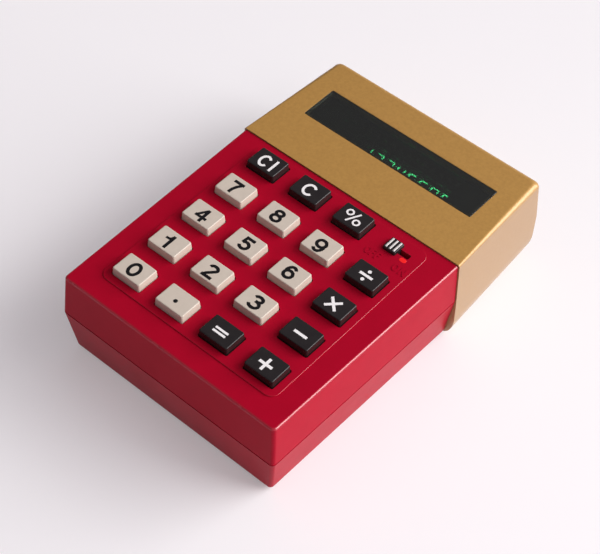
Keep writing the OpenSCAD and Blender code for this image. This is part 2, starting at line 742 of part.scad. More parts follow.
module main_board() {
    color([0.2, 0.36, 0.16]) difference() {
        union() {
            translate([-board_x, y_board, z_board]) cube([2 * board_x, y_board_back - y_board, board_t]);
            translate([-tab_x, y_tab, z_board]) cube([2 * tab_x, y_board - y_tab + over, board_t]);
        }
        for (p = BOARD_POSTS)
            translate([p[0], p[1], z_board]) drill(board_screw_d / 2 + 0.2, board_t + over);
    }
}

module main_board_screws() {
    color(steel) for (p = BOARD_POSTS) translate([p[0], p[1], z_board_top]) {
        translate([0, 0, -board_screw_l]) cylinder(r = board_screw_d / 2, h = board_screw_l);
        difference() {
            cylinder(r = board_head_r, h = board_head_h);
            for (a = [0, 90]) rotate(a) translate([-1, -0.2, 0.5]) cube([2, 0.4, 2]);
        }
    }
}

module board_link() {
    y_link = (y_tab + y_keyboard_back) / 2;
    color(steel) for (i = [0:9])
        translate([(i - 4.5) * 2.2, y_link, z_board_top])
            cylinder(r = 0.4, h = z_keyboard - z_board_top, $fn = 16);
}

chip_l = 36;
chip_w = 13.8;
chip_t = 3.6;
chip_pitch = 2.54;
chip_rows = 15.2;
chip_x = -5;
chip_y = y_tube - 6;
chip_stand = 0.8;

module chip_body() {
    color([0.08, 0.08, 0.08]) translate([chip_x, chip_y, z_board - chip_stand - chip_t]) difference() {
        translate([-chip_l / 2, -chip_w / 2, 0]) cube([chip_l, chip_w, chip_t]);
        translate([-chip_l / 2, 0, -over]) cylinder(r = 1.4, h = over + 0.5);
    }
}

module chip_legs() {
    color(steel) for (i = [0:13]) for (s = [-1, 1])
        translate([chip_x + (i - 6.5) * chip_pitch, chip_y + s * (chip_rows / 2 - 0.12), 0]) {
            translate([-0.6, -0.12, z_board - chip_stand - chip_t / 2])
                cube([1.2, 0.24, chip_stand + chip_t / 2]);
            translate([-0.6, s > 0 ? -(chip_rows - chip_w) / 2 + 0.12 : -0.12,
                       z_board - chip_stand - chip_t / 2])
                cube([1.2, (chip_rows - chip_w) / 2, 0.24]);
        }
}

// Voltage converter for the display tube
converter_x = 24;
converter_y = y_board_back - 9;
converter_r = 6.5;
converter_h = 8.5;

module converter_core() {
    color([0.16, 0.16, 0.17]) translate([converter_x, converter_y, z_board - converter_h]) {
        cylinder(r = converter_r, h = 1.6);
        cylinder(r = 2.6, h = converter_h);
        translate([0, 0, converter_h - 1.6]) cylinder(r = converter_r, h = 1.6);
    }
}

module converter_winding() {
    color([0.62, 0.3, 0.12]) translate([converter_x, converter_y, z_board - converter_h + 1.6 + seat_gap])
        difference() {
            cylinder(r = converter_r - 1, h = converter_h - 3.2 - 2 * seat_gap);
            translate([0, 0, -over]) cylinder(r = 2.6 + seat_gap, h = converter_h);
        }
}

// Each capacitor is [x, y, radius, height]
part_row_y = y_board_back - 4.6;             // row of capacitors along the back of the board
side_part_y = y_board + 9;                   // first of the components along the sides
side_part_x = board_x - 6.2;
CAPACITORS = [[-6, part_row_y, 3.2, 9], [2.5, part_row_y, 3.2, 9], [10.5, part_row_y, 2.5, 7],
              [side_part_x, side_part_y, 3.2, 9]];

module capacitors() {
    color([0.08, 0.15, 0.4]) for (c = CAPACITORS) translate([c[0], c[1], z_board - c[3]]) difference() {
        cylinder(r = c[2], h = c[3]);
        translate([0, 0, c[3] - 1.4]) difference() {
            cylinder(r = c[2] + over, h = 0.5);
            translate([0, 0, -over]) cylinder(r = c[2] - 0.3, h = 2);
        }
    }
}

module resistors() {
    color([0.72, 0.56, 0.38]) for (i = [0:7])
        translate([(i - 3.5) * 3.2, y_tab + 4.4, z_board - 1.5]) {
            rotate([90, 0, 0]) cylinder(r = 1.1, h = 5, center = true);
            for (s = [-1, 1]) {
                translate([0, s * 2.8, 0]) rotate([90, 0, 0])
                    cylinder(r = 0.25, h = 1.1, center = true, $fn = 16);
                translate([0, s * 3.3, -0.25]) cylinder(r = 0.25, h = 1.75, $fn = 16);
            }
        }
}

module transistors() {
    pitch = 6;
    body_h = 4.6;
    leg = 1.4;
    color([0.07, 0.07, 0.07]) for (i = [0:2])
        translate([-side_part_x, side_part_y + pitch * i, z_board - body_h - leg]) {
            intersection() {
                cylinder(r = 2.4, h = body_h);
                translate([-1.2, -3, 0]) cube([6, 6, 5]);
            }
            for (k = [-1, 0, 1])
                translate([0, k * 1.2, body_h]) cylinder(r = 0.25, h = leg, $fn = 16);
        }
}

module adapter_socket() {
    body_l = jack_l + 2;
    color(black) translate([jack_x, y_jack, jack_z]) rotate([90, 0, 0]) difference() {
        union() {
            cylinder(r = jack_nose_r, h = 3);
            translate([-jack_body_w / 2, -jack_body_w / 2, 2]) cube([jack_body_w, jack_body_w, body_l - 2]);
        }
        translate([0, 0, -over]) cylinder(r = jack_r, h = jack_l + over);
    }
}

// ---------- Display ----------

segment_w = 0.55;
digit_w = 2.5;
segment_t = 0.12;
function digit_x(i) = digit_shift_x + (i - (digit_count - 1) / 2) * digit_pitch;

module display_mask() {
    color([0.03, 0.03, 0.03]) translate([0, y_window_mid, z_ledge - mask_h - seat_gap]) difference() {
        round_block(window_w + 1.2, window_d + 1.2, mask_h, 0.6);
        translate([0, 0, -over])
            round_block(digit_count * digit_pitch + 4, window_d - 2 * window_ledge, mask_h + 2 * over, 0.4);
    }
}

module tube_glass() {
    color([0.6, 0.7, 0.7, 0.4]) translate([0, y_tube, z_tube]) difference() {
        round_block(tube_w, tube_d, tube_h, 1);
        translate([-tube_w / 2 + glass_t, -tube_d / 2 + glass_t, glass_t])
            cube([tube_w - 2 * glass_t, tube_d - 2 * glass_t, tube_h - 2 * glass_t]);
    }
    // Sealed exhaust tip
    color([0.6, 0.7, 0.7, 0.4]) translate([tube_w / 2 - tiny, y_tube, z_tube + tube_h / 2])
        rotate([0, 90, 0]) cylinder(r1 = 1.5, r2 = 0.4, h = 3);
}

module tube_anode_plate() {
    color([0.1, 0.11, 0.11])
        translate([-tube_w / 2 + glass_t + 0.3, y_tube - tube_d / 2 + glass_t + 0.3, z_anode])
        cube([tube_w - 2 * glass_t - 0.6, tube_d - 2 * glass_t - 0.6, anode_t]);
}

// Seven bars of one digit, with a point beside it
module digit_bars() {
    half = digit_h / 2;
    for (y = [-1, 0, 1])
        translate([-digit_w / 2 + segment_w / 2 + 0.12, y * (half - segment_w / 2) - segment_w / 2, 0])
            cube([digit_w - segment_w - 0.24, segment_w, segment_t]);
    for (sx = [-1, 1]) for (sy = [-1, 1])
        translate([sx * (digit_w / 2 - segment_w / 4) - segment_w / 2, sy > 0 ? 0.4 : -half + 0.4, 0])
            cube([segment_w, half - 0.8, segment_t]);
    translate([digit_w / 2 + 0.75, -half + 0.3, 0]) cylinder(r = 0.3, h = segment_t);
}

module tube_segments() {
    color([0.2, 0.9, 0.5]) for (i = [0:digit_count - 1])
        translate([digit_x(i), y_tube, z_anode_top]) digit_bars();
}

module tube_grids() {
    grid_w = digit_pitch - 0.5;
    grid_d = digit_h + 2.6;
    rise = 0.9;
    color(steel) for (i = [0:digit_count - 1]) translate([digit_x(i), y_tube, z_anode_top]) {
        for (s = [-1, 1])
            translate([-grid_w / 2, s * grid_d / 2 - 0.2, 0]) cube([grid_w, 0.4, rise + 0.12]);
        translate([0, 0, rise]) difference() {
            translate([-grid_w / 2, -grid_d / 2, 0]) cube([grid_w, grid_d, 0.12]);
            for (k = [0:3])
                translate([-grid_w / 2 + 0.2, -grid_d / 2 + 0.3 + k * (grid_d - 0.3) / 4, -over])
                    cube([grid_w - 0.4, (grid_d - 0.3) / 4 - 0.3, 2]);
        }
    }
}

module tube_filaments() {
    reach = tube_w / 2 - glass_t - 1.6;
    rise = 2.2;
    color(steel) {
        for (s = [-1, 1]) translate([s * reach - 0.3, y_tube - 3, z_anode_top]) cube([0.6, 6, rise]);
        for (y = [-1.6, 1.6])
            translate([-reach, y_tube + y, z_anode_top + rise - 0.15]) rotate([0, 90, 0])
                cylinder(r = 0.06, h = 2 * reach, $fn = 16);
    }
}

module tube_leads() {
    reach = 1.4;
    color(steel) for (i = [0:15])
        translate([(i - 7.5) * 3, y_tube + tube_d / 2, 0]) {
            translate([-0.25, 0, z_tube + 1]) cube([0.5, reach, 0.3]);
            translate([-0.25, reach - 0.3, z_board_top]) cube([0.5, 0.3, z_tube + 1.3 - z_board_top]);
        }
}

module tube_pads() {
    color([0.2, 0.2, 0.2]) for (s = [-1, 1])
        translate([s * tube_w / 3 - 4, y_tube - tube_d / 2 + 2, z_board_top]) cube([8, tube_d - 4, pad_t]);
}

// ---------- Batteries ----------

// Cells lie side by side and point opposite ways in turn
function cell_way(i) = i % 2 == 0 ? 1 : -1;
y_cell_mid = y_bay + bay_l / 2;
nub_l = 1.4;

module battery_cells() {
    color([0.3, 0.3, 0.32]) for (i = [0:cell_count - 1])
        translate([cell_x(i), y_cell_mid + cell_way(i) * spring_l / 2, z_cell])
            rotate([-90 * cell_way(i), 0, 0]) translate([0, 0, -cell_l / 2]) {
                cylinder(r = cell_d / 2, h = cell_l - nub_l);
                cylinder(r = 2.7, h = cell_l);
            }
}

module battery_springs() {
    turns = 5;
    r0 = 2.2;
    color(steel) for (i = [0:cell_count - 1])
        translate([cell_x(i), y_cell_mid - cell_way(i) * (bay_l / 2 - plate_t), z_cell])
            rotate([-90 * cell_way(i), 0, 0])
                linear_extrude(height = spring_l, twist = -360 * turns, slices = 60, segments = 8)
                    translate([r0, 0]) circle(r = spring_wire / 2, $fn = 8);
}

module battery_plates() {
    plate_w = 10;
    color([0.8, 0.8, 0.78]) {
        for (i = [0:cell_count - 1])
            for (s = [-1, 1])
                translate([cell_x(i) - plate_w / 2, s < 0 ? y_bay : y_bay_back - plate_t,
                           z_cell - plate_w / 2])
                    cube([plate_w, plate_t, plate_w]);
        // Bridges that join the cells in a row
        for (i = [0, 2]) translate([cell_x(i), y_bay, z_cell - 2]) cube([cell_pitch, plate_t, 4]);
        translate([cell_x(1), y_bay_back - plate_t, z_cell - 2]) cube([cell_pitch, plate_t, 4]);
        // Terminal tabs through the slots in the bay's back wall
        for (i = [0, cell_count - 1])
            translate([cell_x(i) - 1.8, y_bay_back - plate_t, z_cell + 2.4])
                cube([3.6, bay_wall + plate_t + 2.2, 0.6]);
    }
}

// A wire from a terminal tab up to the main board
module terminal_lead(x, tone) {
    y = y_bay_back + bay_wall + 1.3;
    up = z_board + board_t / 2 - z_cell - 3;
    wire_r = 0.7;
    way = x > 0 ? -1 : 1;
    color(tone) {
        translate([x, y, z_cell + 3]) cylinder(r = wire_r, h = up);
        translate([x - way * wire_r, y, z_cell + 3 + up]) rotate([0, 90 * way, 0])
            cylinder(r = wire_r, h = abs(x) - tab_x + wire_r);
    }
}

module lead_plus() { terminal_lead(cell_x(cell_count - 1), [0.75, 0.05, 0.04]); }
module lead_minus() { terminal_lead(cell_x(0), [0.06, 0.06, 0.06]); }

// ---------- Fixings ----------

module case_screws() {
    color(steel) for (p = CASE_POSTS) translate([p[0], p[1], z_head]) {
        cylinder(r = screw_d / 2, h = screw_l);
        translate([0, 0, -head_h]) difference() {
            cylinder(r = screw_head_d / 2, h = head_h);
            for (a = [0, 90]) rotate(a) translate([-1.4, -0.3, -over]) cube([2.8, 0.6, over + 1]);
        }
    }
}

module cap_screws() {
    color(steel) for (p = CAP_SCREWS) translate([p[0], p[1], z_base]) difference() {
        union() {
            cylinder(r = cap_screw_r, h = cap_screw_l);
            cylinder(r1 = cap_head_r, r2 = cap_screw_r, h = cap_head_h);
        }
        for (a = [0, 90]) rotate(a) translate([-1.1, -0.2, -over]) cube([2.2, 0.4, over + 0.5]);
    }
}

module rubber_feet() {
    color([0.1, 0.1, 0.1]) for (p = FEET)
        translate([p[0], p[1], 0]) cylinder(r = foot_r, h = foot_h + foot_recess);
}

upper_case();
lower_case();
display_cap();
display_window();
battery_door();
key_0();
key_1();
key_2();
key_3();
key_4();
key_5();
key_6();
key_7();
key_8();
key_9();
key_point();
key_equals();
key_plus();
key_minus();
key_times();
key_divide();
key_clear_entry();
key_clear();
key_percent();
switch_knob();
switch_marker();
switch_can();
switch_contacts();
key_mat();
key_contacts();
key_board();
main_board();
board_link();
chip_body();
chip_legs();
display_mask();
tube_glass();
tube_anode_plate();
tube_segments();
tube_grids();
tube_filaments();
tube_leads();
tube_pads();
converter_core();
converter_winding();
capacitors();
resistors();
transistors();
adapter_socket();
battery_cells();
battery_springs();
battery_plates();
lead_plus();
lead_minus();
insulating_sheet();
rubber_feet();
case_screws();
key_board_screws();
main_board_screws();
cap_screws();
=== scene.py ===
import math

import bmesh
import bpy
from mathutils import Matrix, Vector


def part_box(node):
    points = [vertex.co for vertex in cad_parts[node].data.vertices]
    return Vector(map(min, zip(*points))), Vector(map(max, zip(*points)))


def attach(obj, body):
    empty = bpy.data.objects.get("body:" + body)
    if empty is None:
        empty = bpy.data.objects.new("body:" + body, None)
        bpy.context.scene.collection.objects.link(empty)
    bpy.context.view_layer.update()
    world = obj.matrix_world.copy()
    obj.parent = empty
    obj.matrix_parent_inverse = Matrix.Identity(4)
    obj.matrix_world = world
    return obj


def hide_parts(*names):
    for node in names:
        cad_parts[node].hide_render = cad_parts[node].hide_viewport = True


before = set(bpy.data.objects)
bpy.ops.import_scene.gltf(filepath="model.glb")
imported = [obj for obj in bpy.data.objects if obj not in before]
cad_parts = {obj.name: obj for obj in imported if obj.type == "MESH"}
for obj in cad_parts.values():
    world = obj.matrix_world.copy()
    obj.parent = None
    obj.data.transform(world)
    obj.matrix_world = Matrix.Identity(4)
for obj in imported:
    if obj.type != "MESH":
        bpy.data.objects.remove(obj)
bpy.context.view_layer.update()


# ---------- Camera ----------
# A long lens above the front right corner. It looks down on the keypad at about fifty
# degrees, so that the front, the right side and the whole top show.

camera_data = bpy.data.cameras.new("camera")
camera_data.lens = 100.613
camera_data.sensor_width = 36
camera = bpy.data.objects.new("camera", camera_data)
camera.location = (0.19037, -0.24657, 0.37959)
camera.rotation_euler = [math.radians(a) for a in (39.993, -2.145, 40.636)]
bpy.context.scene.collection.objects.link(camera)
bpy.context.scene.camera = camera
bpy.context.scene.view_settings.view_transform = "Standard"


# ---------- Upper shell ----------
# The top half of the case: one red ABS moulding with slightly leaning walls, a raised
# keypad panel, a hole for each key and a tongue at the back that slides into the cap.
# It is held down by four screws from below, in posts moulded under its top.

MM = 0.001  # sizes below are in millimetres, and piece() turns them into metres


def box(node):
    """A CAD node's lowest and highest corners, in millimetres."""
    low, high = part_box(node)
    return low / MM, high / MM


def outline(corners, radii, steps=8):
    """A closed outline through the corners, anticlockwise, each rounded by its radius."""
    points = []
    for i, (corner, r) in enumerate(zip(corners, radii)):
        here = Vector(corner)
        back = (Vector(corners[i - 1]) - here).normalized()
        ahead = (Vector(corners[(i + 1) % len(corners)]) - here).normalized()
        if r == 0:
            points.append(here)
            continue
        half = back.angle(ahead) / 2
        centre = here + (back + ahead).normalized() * (r / math.sin(half))
        start = here + back * (r / math.tan(half)) - centre
        turn = math.pi - 2 * half
        for k in range(steps + 1):
            a = turn * k / steps
            spoke = Vector((start.x * math.cos(a) - start.y * math.sin(a),
                            start.x * math.sin(a) + start.y * math.cos(a)))
            points.append(centre + spoke)
    return points


def rectangle(x, y, width, depth, r, steps=6):
    """The outline of an upright rectangle with round corners."""
    w, d = width / 2, depth / 2
    corners = [(x - w, y - d), (x + w, y - d), (x + w, y + d), (x - w, y + d)]
    return outline(corners, [r] * 4, steps)


def circle(x, y, r, steps=40):
    """A round outline."""
    turns = [2 * math.pi * k / steps for k in range(steps)]
    return [Vector((x + r * math.cos(a), y + r * math.sin(a))) for a in turns]


def at_height(points, z):
    """An outline laid at a height."""
    return [Vector((p.x, p.y, z)) for p in points]


def loft(rings):
    """A closed solid through rings of points, all with the same count."""
    bm = bmesh.new()
    rows = [[bm.verts.new(p) for p in ring] for ring in rings]
    count = len(rows[0])
    for lower, upper in zip(rows, rows[1:]):
        for i in range(count):
            j = (i + 1) % count
            bm.faces.new((lower[i], lower[j], upper[j], upper[i]))
    bm.faces.new(list(reversed(rows[0])))
    bm.faces.new(rows[-1])
    return bm


def prism(points, z0, z1):
    """A straight solid on an outline."""
    return loft([at_height(points, z0), at_height(points, z1)])


def gather(*solids):
    """Several solids that don't touch, as one."""
    whole = bmesh.new()
    for bm in solids:
        mesh = bpy.data.meshes.new("part")
        bm.to_mesh(mesh)
        bm.free()
        whole.from_mesh(mesh)
        bpy.data.meshes.remove(mesh)
    return whole


def piece(name, bm, material=None, smooth=32):
    """An object from a solid in millimetres, shaded smooth up to that angle."""
    bmesh.ops.scale(bm, vec=(MM, MM, MM), verts=bm.verts)
    mesh = bpy.data.meshes.new(name)
    bm.to_mesh(mesh)
    bm.free()
    obj = bpy.data.objects.new(name, mesh)
    bpy.context.scene.collection.objects.link(obj)
    if material:
        mesh.materials.append(material)
    soften(obj, smooth)
    return obj


def soften(obj, smooth=32):
    """Smooth shading up to an angle, with flat faces kept flat."""
    obj.data.shade_smooth()
    obj.data.set_sharp_from_angle(angle=math.radians(smooth))
    if "flat faces" not in obj.modifiers:
        weigh = obj.modifiers.new("flat faces", "WEIGHTED_NORMAL")
        weigh.keep_sharp = True
        weigh.mode = "FACE_AREA"


def combine(obj, bm, operation, smooth=32):
    """Adds a solid to an object or cuts it away."""
    tool = piece("tool", bm)
    tool.modifiers.clear()
    obj.modifiers.clear()
    step = obj.modifiers.new("combine", "BOOLEAN")
    step.operation = operation
    step.solver = "MANIFOLD"
    step.object = tool
    graph = bpy.context.evaluated_depsgraph_get()
    mesh = bpy.data.meshes.new_from_object(obj.evaluated_get(graph))
    obj.modifiers.clear()
    obj.data, old = mesh, obj.data
    bpy.data.meshes.remove(old)
    bpy.data.objects.remove(tool)
    soften(obj, smooth)
    return obj


def round_over(z, inset, r, steps=6, way=1):
    """Levels of a convex edge: (height, inset), from the wall to the flat face."""
    turns = [math.pi / 2 * k / steps for k in range(steps + 1)]
    return [(z - way * r * (1 - math.sin(a)), inset + r * (1 - math.cos(a))) for a in turns]


def surface(name, colour, second, roughness, patch=6.0, grain=0.12, depth=0.004,
            metallic=0.0, coat=0.0, spread=0.06, mix=0.5, shine=0.5):
    """A finish with patches of a second colour, uneven polish and a fine moulded grain.
    patch and grain are the sizes of the patches and the grain, and depth is the grain's
    height, all in millimetres. spread is how far the roughness varies, mix is the second
    colour's largest share, and shine is how strongly it mirrors."""
    material = bpy.data.materials.new(name)
    material.use_nodes = True
    nodes = material.node_tree.nodes
    links = material.node_tree.links
    shader = nodes["Principled BSDF"]
    place = nodes.new("ShaderNodeTexCoord")

    clouds = nodes.new("ShaderNodeTexNoise")
    clouds.inputs["Scale"].default_value = 1 / (patch * MM)
    clouds.inputs["Detail"].default_value = 5
    clouds.inputs["Roughness"].default_value = 0.6
    links.new(place.outputs["Object"], clouds.inputs["Vector"])
    share = nodes.new("ShaderNodeMapRange")
    share.inputs["From Min"].default_value = 0.35
    share.inputs["From Max"].default_value = 0.7
    share.inputs["To Max"].default_value = mix
    links.new(clouds.outputs["Fac"], share.inputs["Value"])
    tint = nodes.new("ShaderNodeMix")
    tint.data_type = "RGBA"
    tint.inputs["A"].default_value = (*colour, 1)
    tint.inputs["B"].default_value = (*second, 1)
    links.new(share.outputs["Result"], tint.inputs["Factor"])
    links.new(tint.outputs["Result"], shader.inputs["Base Color"])

    polish = nodes.new("ShaderNodeMapRange")
    polish.inputs["To Min"].default_value = roughness - spread
    polish.inputs["To Max"].default_value = roughness + spread
    links.new(clouds.outputs["Fac"], polish.inputs["Value"])
    links.new(polish.outputs["Result"], shader.inputs["Roughness"])

    fine = nodes.new("ShaderNodeTexNoise")
    fine.inputs["Scale"].default_value = 1 / (grain * MM)
    fine.inputs["Detail"].default_value = 3
    links.new(place.outputs["Object"], fine.inputs["Vector"])
    bump = nodes.new("ShaderNodeBump")
    bump.inputs["Strength"].default_value = 1
    bump.inputs["Distance"].default_value = depth * MM
    links.new(fine.outputs["Fac"], bump.inputs["Height"])
    links.new(bump.outputs["Normal"], shader.inputs["Normal"])

    shader.inputs["Metallic"].default_value = metallic
    shader.inputs["Specular IOR Level"].default_value = shine
    shader.inputs["Coat Weight"].default_value = coat
    shader.inputs["Coat Roughness"].default_value = 0.12
    return material


red_plastic = surface("red_plastic", (0.39, 0.0022, 0.019), (0.34, 0.0018, 0.016), 0.32,
                      patch=7, grain=0.5, depth=0.004, shine=0.06)
# A lighter red with a full coat for the rounded upper edges: the lighter colour is a painted
# highlight, and the coat mirrors the lamps.
edge_highlight_red = surface("edge_highlight_red", (0.42, 0.004, 0.022), (0.37, 0.003, 0.018), 0.26,
                      patch=7, grain=0.5, depth=0.003, shine=0.4, coat=1)


def paint_edge_highlight(obj):
    """Gives a shell's rounded upper edges a painted highlight: a lighter red with a full coat."""
    obj.data.materials.append(edge_highlight_red)
    for face in obj.data.polygons:
        # Faces tilted between flat and upright, the rounded top edges, get the painted highlight.
        if 0.2 < face.normal.z < 0.97:
            face.material_index = len(obj.data.materials) - 1


cap_low, cap_high = box("display_cap")
upper_low, upper_high = box("upper_case")
lower_low = box("lower_case")[0]
seam_gap = 0.15
panel_step = 0.3
wall = 2.6
front_draw = 1.4
upper_draft = 0.8
z_split = upper_low.z
z_panel = upper_high.z
z_top = z_panel - panel_step
z_ceiling = z_top - wall
y_front = upper_low.y
y_seam = cap_low.y - seam_gap
tongue_end = upper_high.y
half_seam = upper_high.x
half_front = half_seam - front_draw
tongue_in = 1.3
half_tongue = half_seam - 0.43


def shell_ring(z, inset, y0, y1, front, back, r):
    """One level of a red shell: round at the two front corners, square at the seam."""
    corners = [(-(front - inset), y0 + inset), (front - inset, y0 + inset),
               (back - inset, y1), (-(back - inset), y1)]
    return at_height(outline(corners, [r, r, 0, 0]), z)


def shell(levels, y0, y1, front, back, r=1.2):
    """A red shell's solid through levels of (height, inset)."""
    return loft([shell_ring(z, inset, y0, y1, front, back, r) for z, inset in levels])


KEY_NODES = [["key_0", "key_point", "key_equals", "key_plus"],
             ["key_1", "key_2", "key_3", "key_minus"],
             ["key_4", "key_5", "key_6", "key_times"],
             ["key_7", "key_8", "key_9", "key_divide"],
             ["key_clear_entry", "key_clear", "key_percent"]]
key_lip = 1.2
key_gap = 0.2


def key_place(node):
    """Middle, width and depth of a key at the panel."""
    low, high = box(node)
    return (low.x + high.x) / 2, (low.y + high.y) / 2, high.x - low.x - 2 * key_lip, high.y - low.y


def hole(x, y, width, depth, rim=0.1, r=0.5):
    """A cutter for a hole through the top, with a rounded rim."""
    rings = [at_height(rectangle(x, y, width, depth, r), z_ceiling - 1)]
    for k in range(5):
        a = math.pi / 2 * k / 4
        grow = rim * (1 - math.cos(a))
        z = z_panel - rim + rim * math.sin(a)
        rings.append(at_height(rectangle(x, y, width + 2 * grow, depth + 2 * grow, r + grow), z))
    rings.append(at_height(rectangle(x, y, width + 2 * rim, depth + 2 * rim, r + rim), z_panel + 1))
    return loft(rings)


top_edge = 0.7
upper_levels = [(z_split, 0.04), (z_split + 0.04, 0.0)] + round_over(z_top, upper_draft, top_edge)
upper_shell = piece("upper_shell", shell(upper_levels, y_front, y_seam, half_front, half_seam),
                    red_plastic)
tongue_levels = [(z_split, tongue_in), (z_top - tongue_in - 1, upper_draft + tongue_in),
                 (z_top - tongue_in, upper_draft + tongue_in + 1)]
combine(upper_shell, shell(tongue_levels, y_seam - wall, tongue_end, half_seam, half_tongue),
        "UNION")
cavity_levels = [(z_split - 1, wall), (z_ceiling, upper_draft + wall)]
combine(upper_shell, shell(cavity_levels, y_front, tongue_end + 1, half_front, half_tongue),
        "DIFFERENCE")

# The panel stands up a little round the keys, with a soft edge
row_keys = [key_place(node) for node in KEY_NODES[0]]
keypad_x = (row_keys[0][0] + row_keys[-1][0]) / 2
keypad_y = row_keys[0][1]
panel_margin = 7.55
panel_front = 2.6
panel_w = row_keys[-1][0] - row_keys[0][0] + 2 * panel_margin
y_panel = keypad_y - row_keys[0][3] / 2 - panel_front
y_panel_back = y_seam - 2
panel_r = 3.0
panel_levels = [(z_ceiling + 1, 0.0), (z_top, 0.0)] + round_over(z_panel, 0.02, 0.1)
panel_rings = [at_height(rectangle(keypad_x, (y_panel + y_panel_back) / 2, panel_w - 2 * inset,
                                   y_panel_back - y_panel - 2 * inset, panel_r - inset, 10), z)
               for z, inset in panel_levels]
combine(upper_shell, loft(panel_rings), "UNION")

posts = []
screw_low, screw_high = box("case_screws")
head_r = 2.2
post_r = 2.6
post_core = 1.35
front_post_x = 31
post_places = [(s * (screw_high.x - head_r), screw_high.y - head_r) for s in (-1, 1)]
post_places += [(s * front_post_x, screw_low.y + head_r) for s in (-1, 1)]
for x, y in post_places:
    posts.append(prism(circle(x, y, post_r), z_split, z_ceiling + 0.5))
combine(upper_shell, gather(*posts), "UNION")
board_high = box("key_board")[1]
board_screw_high = box("key_board_screws")[1]
board_post_r = 2
board_post_core = 0.9
key_columns = [key[0] for key in row_keys]
key_rows = [key_place(row[0])[1] for row in KEY_NODES]
board_posts = [((key_columns[i] + key_columns[i + 1]) / 2, (key_rows[j] + key_rows[j + 1]) / 2)
               for i in (0, 2) for j in range(4)]
combine(upper_shell, gather(*[prism(circle(x, y, board_post_r), board_high.z + 0.05,
                                    z_ceiling + 0.5) for x, y in board_posts]), "UNION")

cuts = []
for row in KEY_NODES:
    for node in row:
        x, y, w, d = key_place(node)
        cuts.append(hole(x, y, w + 2 * key_gap, d + 2 * key_gap))
can_low, can_high = box("switch_can")
slot_x = (can_low.x + can_high.x) / 2
slot_y = (can_low.y + can_high.y) / 2
slot_l = can_high.x - can_low.x - 4.6  # the slot ends short of the switch can
slot_d = 1.7
cuts.append(hole(slot_x, slot_y, slot_l, slot_d, rim=0.15, r=0.4))
for x, y in post_places:
    cuts.append(prism(circle(x, y, post_core), z_split - 1, screw_high.z + 0.8))
for x, y in board_posts:
    cuts.append(prism(circle(x, y, board_post_core), board_high.z - 1, board_screw_high.z + 0.4))
combine(upper_shell, gather(*cuts), "DIFFERENCE")
paint_edge_highlight(upper_shell)
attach(upper_shell, "case")
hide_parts("upper_case")


# ---------- Lower shell ----------
# The bottom half: the same red ABS, tapering towards the table, with a fine shadow
# groove under the upper shell. The battery bay is moulded in it and opens underneath.
# Four deep wells take the case screws, and two shallow ones the front feet.

lower_taper = 1.9
bottom_edge = 1.5
groove = 0.38
groove_in = 0.6
z_base = lower_low.z
z_floor = z_base + wall
lower_levels = round_over(z_base, lower_taper, bottom_edge, way=-1)[::-1]
lower_levels += [(z_split - groove, 0.0), (z_split - groove + 0.02, groove_in),
                 (z_split - 0.01, groove_in)]
lower_shell = piece("lower_shell", shell(lower_levels, y_front, y_seam, half_front, half_seam),
                    red_plastic)
lower_tongue = [(z_base + 1.7, lower_taper + tongue_in + bottom_edge),
                (z_base + 1.7 + bottom_edge, lower_taper + tongue_in), (z_split - 0.01, tongue_in)]
combine(lower_shell, shell(lower_tongue, y_seam - wall, tongue_end, half_seam, half_tongue),
        "UNION")
lower_cavity = [(z_floor, lower_taper + wall + 0.6), (z_floor + 0.6, lower_taper + wall),
                (z_split + 1, wall)]
combine(lower_shell, shell(lower_cavity, y_front, tongue_end + 1, half_front, half_tongue),
        "DIFFERENCE")

door_low, door_high = box("battery_door")
sheet_low, sheet_high = box("insulating_sheet")
bay_wall = 1.2
z_head = z_split - 6.2
bay_w = sheet_high.x - sheet_low.x
bay_l = sheet_high.y - sheet_low.y
bay_y = (sheet_low.y + sheet_high.y) / 2
combine(lower_shell, prism(rectangle(0, bay_y, bay_w + 2 * bay_wall, bay_l + 2 * bay_wall, 0.4),
                           z_base + 1, sheet_low.z), "UNION")
wells = []
for x, y in post_places:
    levels = [(z_base + 1, head_r + 1.3), (z_head + 1.2, head_r + 1.3),
              (z_head + 1.3, post_r), (z_split - 0.01, post_r)]
    wells.append(loft([at_height(circle(x, y, r), z) for z, r in levels]))
combine(lower_shell, gather(*wells), "UNION")
main_low, main_high = box("main_board")
main_boss_x = 28
main_boss_y = y_seam + 3.6
cap_boss_x = 15
cap_boss_y = y_seam + 4.4
cap_screw_core = 1.15
bosses = []
for s in (-1, 1):
    bosses.append(prism(circle(s * main_boss_x, main_boss_y, 2.25), z_floor - 0.6, main_low.z))
    bosses.append(prism(circle(s * cap_boss_x, cap_boss_y, 2.3), z_floor - 0.6, z_floor + 5))
combine(lower_shell, gather(*bosses), "UNION")

feet_low, feet_high = box("rubber_feet")
foot_r = 3.0
front_foot_x = 19
back_foot_x = 29
foot_pocket = 0.5
front_feet = [(s * front_foot_x, feet_low.y + foot_r) for s in (-1, 1)]
back_feet = [(s * back_foot_x, feet_high.y - foot_r) for s in (-1, 1)]
pockets = [prism(rectangle(0, bay_y, bay_w, bay_l, 0.3), z_base - 1, sheet_low.z - bay_wall)]
for x, y in post_places:
    levels = [(z_base - 1, head_r + 0.45), (z_base, head_r + 0.45), (z_base + 0.25, head_r + 0.2),
              (z_head, head_r + 0.2), (z_head + 0.01, post_core), (z_split + 1, post_core)]
    pockets.append(loft([at_height(circle(x, y, r), z) for z, r in levels]))
for x, y in front_feet:
    pockets.append(prism(circle(x, y, foot_r + 0.05), z_base - 1, z_base + foot_pocket))
for s in (-1, 1):
    pockets.append(prism(circle(s * main_boss_x, main_boss_y, board_post_core),
                         main_high.z - 4.6, main_high.z + 1))
    pockets.append(prism(circle(s * cap_boss_x, cap_boss_y, cap_screw_core),
                         z_base - 1, z_base + 6.6))
